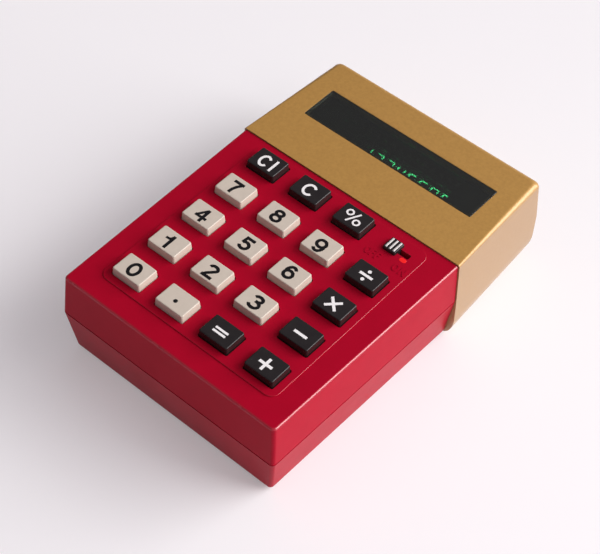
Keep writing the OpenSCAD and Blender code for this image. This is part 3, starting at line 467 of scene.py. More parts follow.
combine(lower_shell, gather(*pockets), "DIFFERENCE")
door_seat = prism(rectangle(0, bay_y, door_high.x - door_low.x + 0.4, bay_l, 0.3),
                  z_base - 1, door_high.z + 0.1)
combine(lower_shell, door_seat, "DIFFERENCE")
cell_low, cell_high = box("battery_cells")
cell_r = 7.25
tab_x = cell_high.x - cell_r
tab_z = (cell_low.z + cell_high.z) / 2 + 2.7
tab_w = 4.4
tab_t = 1.4
slots = [prism(rectangle(s * tab_x, bay_y + bay_l / 2 + bay_wall / 2, tab_w, 3, 0.2),
               tab_z - tab_t / 2, tab_z + tab_t / 2) for s in (-1, 1)]
combine(lower_shell, gather(*slots), "DIFFERENCE")
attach(lower_shell, "case")
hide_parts("lower_case")


# ---------- Battery door ----------
# A flat red panel that fills the opening underneath, with a curved finger recess and
# four grip grooves. It snaps in against the ledges of the bay and lifts straight out.

door_x = (door_low.x + door_high.x) / 2
door_y = (door_low.y + door_high.y) / 2
door_w = door_high.x - door_low.x
door_l = door_high.y - door_low.y
door_levels = [(door_low.z, 0.3), (door_low.z + 0.09, 0.09), (door_low.z + 0.3, 0.0),
               (door_high.z, 0.0)]
door = piece("door", loft([at_height(rectangle(door_x, door_y, door_w - 2 * inset,
                                               door_l - 2 * inset, 0.5), z)
                           for z, inset in door_levels]), red_plastic)
scoop_r = 2.0
scoop_y = door_high.y - 6.8
scoop_w = 16
grip_pitch = 1.6
arc = [Vector((scoop_y + scoop_r * math.cos(a), door_low.z - 1.2 + scoop_r * math.sin(a)))
       for a in [2 * math.pi * k / 48 for k in range(48)]]
combine(door, loft([[Vector((x, p.x, p.y)) for p in arc] for x in (-scoop_w / 2, scoop_w / 2)]),
        "DIFFERENCE")
grips = [prism(rectangle(0, scoop_y - 4.7 - grip_pitch * i, scoop_w, 0.6, 0.25, 4),
               door_low.z - 1, door_low.z + 0.4) for i in range(4)]
combine(door, gather(*grips), "DIFFERENCE")
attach(door, "battery_cover")
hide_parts("battery_door")


# ---------- Display cap ----------
# A deep sleeve over the display end, moulded in ABS and sprayed with gold metallic
# paint. Its walls widen towards a rim low down and round in below it. It slides over
# the shells' tongues and is held by two screws underneath, with a socket in its back.

gold_paint = surface("gold_paint", (0.51, 0.28, 0.062), (0.43, 0.23, 0.048), 0.42,
                     patch=0.9, grain=0.3, depth=0.006, metallic=0.2, coat=0.5, mix=0.8)


def find_node(material, kind):
    """The first node of a kind in a material."""
    return [n for n in material.node_tree.nodes if n.bl_idname == kind][0]


def shade_upright_walls(material, colour):
    """A darker colour on upright walls than on faces turned up: painted shade."""
    nodes, links = material.node_tree.nodes, material.node_tree.links
    shader = nodes["Principled BSDF"]
    direction = nodes.new("ShaderNodeSeparateXYZ")
    faces_up = nodes.new("ShaderNodeMapRange")
    faces_up.inputs["From Min"].default_value = 0.1
    faces_up.inputs["From Max"].default_value = 0.9
    # This mix lays the painted shade over the upright walls.
    coat = nodes.new("ShaderNodeMix")
    coat.data_type = "RGBA"
    coat.inputs["A"].default_value = (*colour, 1)
    place = find_node(material, "ShaderNodeTexCoord")
    links.new(place.outputs["Normal"], direction.inputs["Vector"])
    links.new(direction.outputs["Z"], faces_up.inputs["Value"])
    links.new(faces_up.outputs["Result"], coat.inputs["Factor"])
    links.new(shader.inputs["Base Color"].links[0].from_socket, coat.inputs["B"])
    links.new(coat.outputs["Result"], shader.inputs["Base Color"])


# Painted shade: the gold's upright walls get a darker, bluer colour than its top.
shade_upright_walls(gold_paint, (0.39, 0.228, 0.095))
window_low, window_high = box("display_window")
socket_low, socket_high = box("adapter_socket")
cap_proud = 0.4
cap_flare = 0.3
cap_rim_h = 7.5
cap_knee = 3.8
cap_far_draft = 0.4
cap_back_draft = 1.5
cap_corner = 1.8
cap_edge = 2.0
cap_t = 1.6
cap_draw = 1.7
cap_mouth = 1.2
cap_gap = 0.1
half_back = half_seam - cap_draw
y_back = cap_high.y
z_cap_top = cap_high.z


def cap_ring(z, near, z_far, side, back, y0, r):
    """One level of the cap: square at the seam, round at the back corners."""
    points = outline([(-(half_seam - near), y0), (half_seam - near, y0),
                      (half_back - side, y_back - back), (-(half_back - side), y_back - back)],
                     [0, 0, r, r], 10)
    span = y_back - back - y0
    return [Vector((p.x, p.y, z + (z_far - z) * (p.y - y0) / span)) for p in points]


def cap_solid(levels, y0, r):
    """The cap's solid through its levels."""
    return loft([cap_ring(*level, y0, r) for level in levels])


def knee(height, inset):
    """Levels of the rounded underside, inset from the cap's faces."""
    levels = []
    for k in range(11):
        a = math.pi / 2 * (1 - k / 10)
        z = z_base + inset + height * (1 - math.sin(a))
        drawn = cap_knee * (1 - math.cos(a)) + inset
        levels.append((z, drawn - cap_proud - cap_flare, z, drawn, drawn))
    return levels


cap_levels = knee(cap_rim_h, 0) + [(z_split, -cap_proud, z_split, 0.0, 0.0)]
near_edge = round_over(z_cap_top, upper_draft - cap_proud, top_edge, 8)
far_edge = round_over(z_cap_top, 0.0, cap_edge, 8)
for near, far in zip(near_edge, far_edge):
    cap_levels.append((near[0], near[1], far[0], far[1] + cap_far_draft, far[1] + cap_back_draft))
cap_shell = piece("cap_shell", cap_solid(cap_levels, y_seam + seam_gap, cap_corner), gold_paint)
inside = cap_t - cap_proud
cap_inner = knee(cap_rim_h - cap_t, cap_t) + [
    (z_split, inside, z_split, cap_t, cap_t),
    (z_cap_top - cap_t - 0.01, upper_draft + inside, z_cap_top - cap_t - 1,
     cap_far_draft + cap_t, cap_back_draft + cap_t),
    (z_cap_top - cap_t, upper_draft + cap_t, z_cap_top - cap_t,
     cap_far_draft + cap_t + 1.4, cap_back_draft + cap_t + 1.4)]
combine(cap_shell, cap_solid(cap_inner, y_seam + seam_gap + cap_mouth, cap_corner - cap_t),
        "DIFFERENCE")
room_in = tongue_in - cap_gap
mouth = [(z_base + cap_t, lower_taper + room_in + bottom_edge),
         (z_base + cap_t + bottom_edge, lower_taper + room_in), (z_split, room_in),
         (z_top - room_in - 1, upper_draft + room_in), (z_top - room_in, upper_draft + room_in + 1)]
combine(cap_shell, shell(mouth, y_seam - wall, tongue_end, half_seam, half_tongue + cap_gap),
        "DIFFERENCE")

window_x = (window_low.x + window_high.x) / 2
window_y = (window_low.y + window_high.y) / 2
window_w = window_high.x - window_low.x
window_d = window_high.y - window_low.y
ledge = 1.2
ledge_t = 0.9
z_ledge = window_low.z - ledge_t
combine(cap_shell, prism(rectangle(window_x, window_y, window_w + 3, window_d + 3, 1),
                         z_ledge, window_low.z + 0.75), "UNION")
rail_x = main_high.x + 0.3
rails = [prism(rectangle(s * rail_x, main_high.y - 5, 2.6, 8, 0.1), main_low.z - 2.1,
               main_low.z - 0.1) for s in (-1, 1)]
combine(cap_shell, gather(*rails), "UNION")
rim = 0.12
pane_gap = 0.08
opening = []
for z, grow in ((z_ledge - 1, -ledge), (window_low.z - 0.01, -ledge), (window_low.z, pane_gap),
                (z_cap_top - rim, pane_gap), (z_cap_top - rim * 0.3, pane_gap + rim * 0.3),
                (z_cap_top, pane_gap + rim), (z_cap_top + 1, pane_gap + rim)):
    opening.append(at_height(rectangle(window_x, window_y, window_w + 2 * grow,
                                       window_d + 2 * grow, 0.45), z))
combine(cap_shell, loft(opening), "DIFFERENCE")
socket_x = (socket_low.x + socket_high.x) / 2
socket_z = (socket_low.z + socket_high.z) / 2
socket_r = 3.25
cap_screw_head = 2.1
bores = [loft([[Vector((socket_x + r * math.cos(a), y, socket_z + r * math.sin(a)))
                for a in [-2 * math.pi * k / 48 for k in range(48)]]
               for y, r in ((y_back - 4, socket_r), (y_back - 0.65, socket_r),
                            (y_back + 0.3, socket_r + 0.95))])]
for s in (-1, 1):
    levels = [(z_base - 0.5, cap_screw_head), (z_base, cap_screw_head),
              (z_base + 0.95, cap_screw_core), (z_base + 3, cap_screw_core)]
    bores.append(loft([at_height(circle(s * cap_boss_x, cap_boss_y, r), z) for z, r in levels]))
for x, y in back_feet:
    bores.append(prism(circle(x, y, foot_r + 0.05), z_base - 1, z_base + foot_pocket))
combine(cap_shell, gather(*bores), "DIFFERENCE")
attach(cap_shell, "case")
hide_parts("display_cap")


# ---------- Window ----------
# A flat pane of smoked acrylic, pressed into the cap flush with its top. It is dark
# enough to hide the tube and lets only the lit digits through.

smoked = surface("smoked_acrylic", (0.13, 0.16, 0.13), (0.11, 0.14, 0.11), 0.06, patch=12,
                 grain=1.5, depth=0.0008, spread=0.03)
smoked_shader = smoked.node_tree.nodes["Principled BSDF"]
smoked_shader.inputs["Transmission Weight"].default_value = 0.93
smoked_shader.inputs["IOR"].default_value = 1.49
pane_levels = [(window_low.z, 0.1), (window_low.z + 0.1, 0.0)] + \
    round_over(window_high.z - 0.03, 0.0, 0.12, 4)
pane = piece("pane", loft([at_height(rectangle(window_x, window_y, window_w - 2 * inset,
                                               window_d - 2 * inset, 0.35), z)
                           for z, inset in pane_levels]), smoked)
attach(pane, "case")
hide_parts("display_window")


# ---------- Keys ----------
# Hard moulded caps with leaning sides and a soft top edge, ivory for the numbers and
# black for the rest. Each has a lip on both sides that holds it in the case and a
# plunger that presses the rubber mat. The characters are a second, inlaid colour.

ivory = surface("ivory_plastic", (0.62, 0.55, 0.455), (0.55, 0.485, 0.40), 0.42, patch=3,
                grain=0.3, depth=0.004)
black = surface("black_plastic", (0.013, 0.011, 0.011), (0.020, 0.018, 0.017), 0.25, patch=3,
                grain=0.3, depth=0.004, shine=0.4)
black_inlay = surface("black_inlay", (0.006, 0.006, 0.007), (0.010, 0.010, 0.010), 0.4, patch=1.5,
                      grain=0.2, depth=0.002, shine=0.2)
white_inlay = surface("white_inlay", (0.90, 0.89, 0.87), (0.84, 0.83, 0.81), 0.4, patch=1.5,
                      grain=0.2, depth=0.002)
key_draft = 0.15
key_edge = 0.3
key_wall = 1.1
plunger_r = 1.5
inlay = 0.015  # how far the characters stand out of a key


def key_cap(node, material):
    """A key's cap with its lips, open underneath round the plunger."""
    low, high = box(node)
    x, y, w, d = key_place(node)
    top = high.z - inlay
    levels = [(low.z, 0.0), (z_panel + 0.3, 0.0)] + round_over(top, key_draft, key_edge, 6)
    rings = [at_height(rectangle(x, y, w - 2 * inset, d - 2 * inset,
                                 max(0.55 - inset * 0.2, 0.2)), z) for z, inset in levels]
    cap = piece(node + "_cap", loft(rings), material)
    lips = prism(rectangle(x, y, high.x - low.x, d, 0.2), low.z, low.z + 1)
    combine(cap, lips, "UNION")
    hollow = prism(rectangle(x, y, w - 2 * key_wall, d - 2 * key_wall, 0.3), low.z - 1,
                   top - key_wall)
    combine(cap, hollow, "DIFFERENCE")
    combine(cap, prism(circle(x, y, plunger_r), low.z, top - key_wall + 0.3), "UNION")
    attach(cap, node + "_body")
    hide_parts(node)


def bend(x, y, rx, ry, start, end, steps=20):
    """Points along part of an oval, from one angle to another in degrees."""
    turns = [math.radians(start + (end - start) * k / steps) for k in range(steps + 1)]
    return [Vector((x + rx * math.cos(a), y + ry * math.sin(a))) for a in turns]


def stroke(points, width, closed=False):
    """Both edges of a stroke of even width along the points."""
    left, right = [], []
    count = len(points)
    for i, here in enumerate(points):
        back = points[i - 1] if (i > 0 or closed) else here
        ahead = points[(i + 1) % count] if (i < count - 1 or closed) else here
        before = (here - back).normalized() if here != back else (ahead - here).normalized()
        after = (ahead - here).normalized() if here != ahead else before
        along = (before + after).normalized()
        side = Vector((-along.y, along.x)) * (width / 2 / max(along.dot(before), 0.4))
        left.append(here + side)
        right.append(here - side)
    return left, right


def stroke_solid(points, width, x, y, z0, z1, closed=False):
    """A stroke as a thin solid, with its own origin at x, y."""
    left, right = stroke([Vector(p) for p in points], width, closed)
    if not closed:
        return prism([Vector((p.x + x, p.y + y)) for p in right + left[::-1]], z0, z1)
    bm = bmesh.new()
    rows = [[bm.verts.new((p.x + x, p.y + y, z)) for p in side]
            for side, z in ((right, z0), (right, z1), (left, z1), (left, z0))]
    for a, b in zip(rows, rows[1:] + rows[:1]):
        for i in range(len(a)):
            j = (i + 1) % len(a)
            bm.faces.new((a[i], a[j], b[j], b[i]))
    bmesh.ops.recalc_face_normals(bm, faces=bm.faces)
    return bm


def legend(name, strokes, dots, x, y, top, body, material, sunk=0.12, proud=inlay):
    """A character on a surface: strokes are (points, width, closed), dots are (x, y, r)."""
    solids = [stroke_solid(points, width, x, y, top - sunk, top + proud, closed)
              for points, width, closed in strokes]
    solids += [prism(circle(x + dx, y + dy, r, 28), top - sunk, top + proud) for dx, dy, r in dots]
    sign = piece(name, solids[0], material)
    for solid in solids[1:]:
        combine(sign, solid, "UNION")
    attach(sign, body)
    return sign


bold = 1.0  # stroke of the figures


def figures(w, h):
    """Middle lines of the figures in a box of that size round the origin."""
    a, b = (w - bold) / 2, (h - bold) / 2
    low_bowl = 0.56 * b
    up_bowl = b - low_bowl
    oval = bend(0, 0, a, b, 0, 360, 40)[:-1]
    six_bowl = bend(0, -b + low_bowl * 1.1, a, low_bowl * 1.1, 0, 360, 36)[:-1]
    six_back = bend(0.02 * a, 0, a * 1.02, b, 180, 40, 24)
    six = [(six_bowl, bold, True), (six_back, bold, False)]
    turned = [([-p for p in points], width, closed) for points, width, closed in six]
    return {
        "0": [(oval, bold, True)],
        "1": [([(a, -b - bold / 2), (a, b + bold / 2)], bold, False),
              ([(-a - bold / 2, b * 0.42), (0.1 * a, b * 0.5), (a, b + bold * 0.2)],
               bold * 0.8, False)],
        "2": [(bend(0, b - up_bowl, a, up_bowl, 175, -35, 18) + [Vector((-a * 0.6, -b * 0.62)),
               Vector((-a * 0.85, -b + 0.05))], bold, False),
              ([(-a - bold / 2, -b), (a + bold / 2, -b)], bold, False)],
        "3": [(bend(-0.06 * a, b - up_bowl, a * 0.9, up_bowl, 165, -90, 20), bold, False),
              (bend(-0.06 * a, -b + low_bowl, a * 1.04, low_bowl, 90, -165, 20), bold, False),
              ([(-a * 0.35, b - 2 * up_bowl), (0.1 * a, b - 2 * up_bowl)], bold, False)],
        "4": [([(a * 0.42, b + bold / 2), (a * 0.42, -b - bold / 2)], bold, False),
              ([(a * 0.30, b + bold * 0.1), (-a * 0.92, -b * 0.36)], bold * 0.85, False),
              ([(-a - bold * 0.4, -b * 0.42), (a + bold / 2, -b * 0.42)], bold * 0.9, False)],
        "5": [([(a * 0.9 + bold / 2, b), (-a * 0.72 - bold * 0.45, b)], bold, False),
              ([(-a * 0.68, b + bold * 0.3), (-a * 0.86, -b * 0.06)], bold * 0.95, False),
              (bend(-0.04 * a, -b + low_bowl * 1.12, a * 1.02, low_bowl * 1.12, 142, -160, 26),
               bold, False)],
        "6": six,
        "7": [([(-a - bold / 2, b), (a + bold / 2, b)], bold, False),
              ([(a * 0.95, b), (a * 0.2, b * 0.25), (-a * 0.2, -b * 0.45),
                (-a * 0.32, -b - bold / 2)], bold, False)],
        "8": [(bend(0, b - up_bowl, a * 0.86, up_bowl, 0, 360, 32)[:-1], bold, True),
              (bend(0, -b + low_bowl, a, low_bowl, 0, 360, 36)[:-1], bold, True)],
        "9": turned,
    }


# Each figure's width and height, and its place from the middle of its key
FIGURES = {"key_0": ("0", 4.0, 5.1, 0.1, -0.25), "key_1": ("1", 2.55, 5.1, -0.5, -0.35),
           "key_2": ("2", 3.6, 5.15, -0.1, -0.38), "key_3": ("3", 4.0, 5.15, 0.2, -0.25),
           "key_4": ("4", 4.1, 5.1, 0.1, -0.45), "key_5": ("5", 3.75, 5.0, 0.25, -0.25),
           "key_6": ("6", 3.75, 5.15, -0.05, 0.15), "key_7": ("7", 3.65, 5.0, -0.2, -0.25),
           "key_8": ("8", 3.75, 5.1, -0.1, -0.3), "key_9": ("9", 3.85, 5.3, -0.25, -0.65)}
for node, (figure, w, h, dx, dy) in FIGURES.items():
    key_cap(node, ivory)
    x, y = key_place(node)[:2]
    top = box(node)[1].z - inlay
    legend(node + "_figure", figures(w, h)[figure], [], x + dx, y + dy, top, node + "_body",
           black_inlay)

bar = 4.35  # length of the signs' bars
letter_h = 4.75
fine = 0.8  # stroke of the letters


def letter_c(x, w):
    """A capital C."""
    a, b = (w - fine) / 2, (letter_h - fine) / 2
    return (bend(x, 0, a, b, 38, 322, 32), fine, False)


# Each sign's strokes and dots, and its place from the middle of its key
SIGNS = {
    "key_equals": ([([(-bar / 2, 0.62), (bar / 2, 0.62)], 0.7, False),
                    ([(-bar / 2, -0.62), (bar / 2, -0.62)], 0.7, False)], [], -0.12, -0.36),
    "key_plus": ([([(-bar / 2, 0), (bar / 2, 0)], 0.88, False),
                  ([(0, -bar / 2), (0, bar / 2)], 0.88, False)], [], -0.17, -0.35),
    "key_minus": ([([(-bar / 2, 0), (bar / 2, 0)], 0.88, False)], [], 0.07, -0.42),
    "key_times": ([([(-1.8, -1.8), (1.8, 1.8)], 0.85, False),
                   ([(-1.8, 1.8), (1.8, -1.8)], 0.85, False)], [], -0.1, -0.35),
    "key_divide": ([([(-bar / 2, 0), (bar / 2, 0)], 0.85, False)],
                   [(0, 1.65, 0.56), (0, -1.6, 0.56)], 0.07, -0.4),
    "key_percent": ([(bend(-1.85, 1.05, 0.95, 0.95, 0, 360, 28)[:-1], 0.55, True),
                     (bend(1.85, -1.05, 0.95, 0.95, 0, 360, 28)[:-1], 0.55, True),
                     ([(-1.15, -2.3), (1.15, 2.3)], 0.55, False)], [], -0.05, 0.0),
    "key_clear": ([letter_c(0, 4.2)], [], 0.0, -0.33),
    "key_clear_entry": ([letter_c(-0.9, 3.7),
                         ([(2.35, -letter_h / 2), (2.35, letter_h / 2)], fine, False)],
                        [], 0.0, -0.33)}
for node, (strokes, dots, dx, dy) in SIGNS.items():
    key_cap(node, black)
    x, y = key_place(node)[:2]
    top = box(node)[1].z - inlay
    legend(node + "_sign", strokes, dots, x + dx, y + dy, top, node + "_body", white_inlay)

key_cap("key_point", ivory)
point_x, point_y = key_place("key_point")[:2]
point_top = box("key_point")[1].z - inlay
point = piece("key_point_dot", prism(circle(point_x - 0.12, point_y - 0.7, 0.65, 32),
                                     point_top - 0.12, point_top + inlay), black_inlay)
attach(point, "key_point_body")


# ---------- Switch ----------
# A small black slider with three white ridges runs in a slot to the right of the top row.
# Its neck goes through the slot to the switch can below. A bright red dot is let into the
# panel beside the slot, and OFF and ON are moulded on the panel in raised letters.

ridge_white = surface("ridge_white", (0.62, 0.60, 0.57), (0.44, 0.42, 0.40), 0.42, patch=1.2,
                      grain=0.2, depth=0.004)
dot_red = surface("dot_red", (0.95, 0.012, 0.010), (0.86, 0.010, 0.008), 0.3, patch=1.0,
                  grain=0.2, depth=0.002)
knob_low, knob_high = box("switch_knob")
marker_low, marker_high = box("switch_marker")
knob_x = (knob_low.x + knob_high.x) / 2
knob_w = knob_high.x - knob_low.x
knob_d = 4.8
ridge_h = 0.25
ridge_pitch = 1.35
foot_t = 1.4
knob_top = knob_high.z - ridge_h
knob_levels = [(z_panel + 0.1, 0.0)] + round_over(knob_top, 0.1, 0.25, 4)
knob = piece("knob", loft([at_height(rectangle(knob_x, slot_y, knob_w - 2 * inset,
                                               knob_d - 2 * inset, 0.5 - inset * 0.5), z)
                           for z, inset in knob_levels]), black)
ridges = []
for i in (-1, 0, 1):
    levels = [(knob_top - 0.1, 0.0), (knob_top + 0.08, 0.0), (knob_high.z - 0.05, 0.08),
              (knob_high.z, 0.14)]
    ridges.append(loft([at_height(rectangle(knob_x + i * ridge_pitch, slot_y, 0.6 - 2 * inset,
                                            3.9 - 2 * inset, 0.12), z) for z, inset in levels]))
ridge_tops = piece("ridge_tops", gather(*ridges), ridge_white)
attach(ridge_tops, "switch")
neck_d = 1.4
combine(knob, prism(rectangle(knob_x, slot_y, knob_w, neck_d, 0.1), knob_low.z + 0.5,
                    z_panel + 0.4), "UNION")
combine(knob, prism(rectangle(knob_x, slot_y, knob_w, knob_high.y - knob_low.y, 0.2),
                    knob_low.z, knob_low.z + foot_t), "UNION")
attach(knob, "switch")
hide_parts("switch_knob")

marker_r = (marker_high.y - marker_low.y) / 2
marker_x = (marker_low.x + marker_high.x) / 2
marker_y = (marker_low.y + marker_high.y) / 2
marker_path = rectangle(marker_x, marker_y, marker_high.x - marker_low.x, 2 * marker_r,
                        marker_r - 0.001, 12)
marker_levels = [(marker_low.z, 0.0)] + round_over(marker_high.z, 0.0, 0.06, 3)
middle = Vector((marker_x, marker_y))
marker_rings = [at_height([middle + (p - middle) * (1 - inset / marker_r) for p in marker_path], z)
                for z, inset in marker_levels]
marker = piece("marker", loft(marker_rings), dot_red)
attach(marker, "case")
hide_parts("switch_marker")

thin = 0.5  # stroke of the raised letters
word_h = 2.7
letter_w = 1.9


def word_letter(name, letter, x, y):
    """One raised letter on the panel, in the panel's own plastic."""
    a, b = (letter_w - thin) / 2, (word_h - thin) / 2
    edge = thin / 2
    shapes = {
        "O": [(bend(0, 0, a * 1.05, b, 0, 360, 28)[:-1], thin, True)],
        "F": [([(-a * 0.8, -b - edge), (-a * 0.8, b + edge)], thin, False),
              ([(-a * 0.8 - edge, b), (a * 0.85, b)], thin, False),
              ([(-a * 0.8, 0.08), (a * 0.6, 0.08)], thin, False)],
        "N": [([(-a, -b - edge), (-a, b + edge)], thin, False),
              ([(a, -b - edge), (a, b + edge)], thin, False),
              ([(-a, b), (a, -b)], thin, False)]}
    return legend(name, shapes[letter], [], x, y, z_panel, "case", red_plastic, 0.2, 0.14)


word_y = slot_y - 5.35
for i, letter in enumerate("OFF"):
    word_letter(f"off_letter_{i}", letter, slot_x - 4.45 + (i - 1) * 1.72, word_y)
for i, letter in enumerate("ON"):
    word_letter(f"on_letter_{i}", letter, slot_x + 3.45 + i * 2.5, word_y)


# ---------- Display tube ----------
# A flat vacuum fluorescent tube: a glass box with a dark plate, a grid over each digit
# and two hair-thin filaments. It is lit, and shows the figures 1 to 8 after a dim sign
# place. Each digit's bars are phosphor, bright green where they are driven.

glow = bpy.data.materials.new("lit_phosphor")
glow.use_nodes = True
glow_nodes = glow.node_tree.nodes
glow_shader = glow_nodes["Principled BSDF"]
glow_place = glow_nodes.new("ShaderNodeTexCoord")
glow_noise = glow_nodes.new("ShaderNodeTexNoise")
glow_noise.inputs["Scale"].default_value = 2500
glow_range = glow_nodes.new("ShaderNodeMapRange")
glow_range.inputs["To Min"].default_value = 5.0
glow_range.inputs["To Max"].default_value = 9.0
glow.node_tree.links.new(glow_place.outputs["Object"], glow_noise.inputs["Vector"])
glow.node_tree.links.new(glow_noise.outputs["Fac"], glow_range.inputs["Value"])
glow.node_tree.links.new(glow_range.outputs["Result"], glow_shader.inputs["Emission Strength"])
glow_shader.inputs["Base Color"].default_value = (0.10, 0.30, 0.20, 1)
glow_shader.inputs["Emission Color"].default_value = (0.10, 1.0, 0.40, 1)
unlit = surface("unlit_phosphor", (0.10, 0.13, 0.12), (0.07, 0.09, 0.085), 0.7, patch=0.6,
                grain=0.08, depth=0.003)
segment_low, segment_high = box("tube_segments")
digit_pitch = 4.1
digit_w = 2.5
digit_h = 5.0
bar_w = 0.42
first_digit = segment_low.x + digit_w / 2
digit_y = (segment_low.y + segment_high.y) / 2
half_h = digit_h / 2


def bar_places():
    """Each bar of a digit: letter, middle, width and depth."""
    across = digit_w - bar_w - 0.24
    up = half_h - 0.8
    side = digit_w / 2 - bar_w / 4
    level = {"a": half_h - bar_w / 2, "g": 0.0, "d": -half_h + bar_w / 2}
    bars = [(key, 0.0, y, across, bar_w) for key, y in level.items()]
    bars += [("f", -side, 0.4 + up / 2, bar_w, up), ("b", side, 0.4 + up / 2, bar_w, up),
             ("e", -side, -half_h + 0.4 + up / 2, bar_w, up),
             ("c", side, -half_h + 0.4 + up / 2, bar_w, up)]
    return bars


# The bars that each figure lights, from "a" at the top clockwise to "f", with "g" across
LIT = {"": "", "1": "bc", "2": "abged", "3": "abgcd", "4": "fgbc", "5": "afgcd", "6": "afgedc",
       "7": "abcf", "8": "abcdefg"}
shown = ["", "1", "2", "3", "4", "5", "6", "7", "8"]
lit, dim = [], []
for i, figure in enumerate(shown):
    x = first_digit + i * digit_pitch
    for key, dx, dy, w, d in bar_places():
        bar_solid = prism(rectangle(x + dx, digit_y + dy, w, d, 0.12, 3), segment_low.z,
                          segment_high.z)
        (lit if key in LIT[figure] else dim).append(bar_solid)
    dim.append(prism(circle(x + digit_w / 2 + 0.75, digit_y - half_h + 0.3, 0.3, 20),
                     segment_low.z, segment_high.z))
lit_bars = piece("lit_bars", gather(*lit), glow)
dim_bars = piece("dim_bars", gather(*dim), unlit)
for bars in (lit_bars, dim_bars):
    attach(bars, "case")
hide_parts("tube_segments")


def dress(node, material):
    """Gives a CAD node its finish."""
    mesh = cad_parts[node].data
    mesh.materials.clear()
    mesh.materials.append(material)


glass = surface("tube_glass_finish", (0.86, 0.92, 0.90), (0.80, 0.88, 0.86), 0.05, patch=9,
                grain=2.0, depth=0.001, spread=0.03)
glass.node_tree.nodes["Principled BSDF"].inputs["Transmission Weight"].default_value = 1
dress("tube_glass", glass)
dress("tube_anode_plate", surface("anode_plate", (0.02, 0.024, 0.024), (0.035, 0.04, 0.04), 0.55,
                                  patch=3, grain=0.2, depth=0.004))
wire_steel = surface("bright_steel", (0.62, 0.62, 0.61), (0.45, 0.44, 0.43), 0.3, patch=1.2,
                     grain=0.1, depth=0.003, metallic=1)
for node in ("tube_grids", "tube_filaments", "tube_leads"):
    dress(node, wire_steel)
soft_black = surface("black_rubber", (0.02, 0.02, 0.02), (0.04, 0.04, 0.04), 0.8, patch=1.5,
                     grain=0.2, depth=0.02)
dress("tube_pads", soft_black)
dress("display_mask", surface("matt_black_mask", (0.008, 0.008, 0.008), (0.015, 0.015, 0.015), 0.75,
                              patch=2, grain=0.15, depth=0.008))


# ---------- Keypad inside ----------
# A grey silicone mat with a dome under each key lies on a tan phenolic board, whose
# carbon pads the domes press together. The slide switch's can is folded tinned steel,
# with gold-plated contacts. Small steel screws hold the board under the upper shell.

dress("key_mat", surface("silicone_mat", (0.36, 0.37, 0.39), (0.30, 0.31, 0.33), 0.65, patch=3,
                         grain=0.25, depth=0.01))
dress("key_contacts", surface("carbon_pads", (0.02, 0.02, 0.02), (0.05, 0.05, 0.05), 0.7, patch=0.8,
                              grain=0.1, depth=0.005))
dress("key_board", surface("phenolic_board", (0.42, 0.24, 0.09), (0.33, 0.18, 0.06), 0.5, patch=5,
                           grain=0.3, depth=0.006))
dress("switch_can", surface("tinned_steel", (0.60, 0.60, 0.58), (0.42, 0.42, 0.40), 0.38, patch=2,
                            grain=0.15, depth=0.004, metallic=1))
contact_gold = surface("gold_contacts", (0.80, 0.55, 0.18), (0.6, 0.4, 0.12), 0.28, patch=0.8,
                       grain=0.1, depth=0.002, metallic=1)
dress("switch_contacts", contact_gold)
screw_steel = surface("zinc_screws", (0.58, 0.58, 0.56), (0.40, 0.39, 0.36), 0.36, patch=0.8,
                      grain=0.12, depth=0.006, metallic=1)
for node in ("key_board_screws", "main_board_screws", "case_screws", "cap_screws"):
    dress(node, screw_steel)


# ---------- Main board ----------
# A green glass-fibre board under the tube carries the calculator chip in a black moulded
# package, the converter's ferrite core and copper winding, sleeved capacitors, banded
# resistors and three transistors. A row of pins links it to the keypad board.

dress("main_board", surface("green_board", (0.03, 0.12, 0.035), (0.05, 0.17, 0.05), 0.35, patch=2.5,
                            grain=0.5, depth=0.012))
dress("board_link", wire_steel)
dress("chip_body", surface("chip_moulding", (0.018, 0.018, 0.018), (0.03, 0.03, 0.03), 0.6, patch=2,
                           grain=0.12, depth=0.01))
dress("chip_legs", surface("tinned_legs", (0.66, 0.65, 0.62), (0.5, 0.48, 0.45), 0.35, patch=0.8,
                           grain=0.1, depth=0.003, metallic=1))
dress("converter_core", surface("ferrite", (0.035, 0.035, 0.038), (0.06, 0.06, 0.06), 0.5,
                                patch=1.5, grain=0.15, depth=0.012))
winding = surface("copper_winding", (0.45, 0.16, 0.05), (0.34, 0.11, 0.035), 0.32, patch=1.5,
                  grain=0.2, depth=0.004, metallic=0.8, coat=0.3)
dress("converter_winding", winding)


def turns_of_wire(material, pitch):
    """Ridges across Z, as neat turns of wire."""
    nodes, links = material.node_tree.nodes, material.node_tree.links
    wave = nodes.new("ShaderNodeTexWave")
    wave.bands_direction = "Z"
    wave.inputs["Scale"].default_value = 1 / (pitch * MM) / math.pi / 2
    place = find_node(material, "ShaderNodeTexCoord")
    links.new(place.outputs["Object"], wave.inputs["Vector"])
    grain_bump = find_node(material, "ShaderNodeBump")
    ridge = nodes.new("ShaderNodeBump")
    ridge.inputs["Distance"].default_value = 0.12 * MM
    links.new(wave.outputs["Fac"], ridge.inputs["Height"])
    links.new(grain_bump.outputs["Normal"], ridge.inputs["Normal"])
    links.new(ridge.outputs["Normal"], nodes["Principled BSDF"].inputs["Normal"])


turns_of_wire(winding, 0.35)
dress("capacitors", surface("blue_sleeve", (0.03, 0.07, 0.22), (0.02, 0.05, 0.16), 0.35, patch=2.5,
                            grain=0.5, depth=0.01))
dress("resistors", surface("resistor_lacquer", (0.50, 0.33, 0.17), (0.38, 0.16, 0.07), 0.4,
                           patch=1.6, grain=0.2, depth=0.006, mix=1))
dress("transistors", surface("transistor_moulding", (0.02, 0.02, 0.02), (0.035, 0.035, 0.035), 0.5,
                             patch=1, grain=0.12, depth=0.008))
dress("adapter_socket", surface("socket_moulding", (0.02, 0.02, 0.021), (0.035, 0.035, 0.035), 0.45,
                                patch=1.5, grain=0.15, depth=0.006))


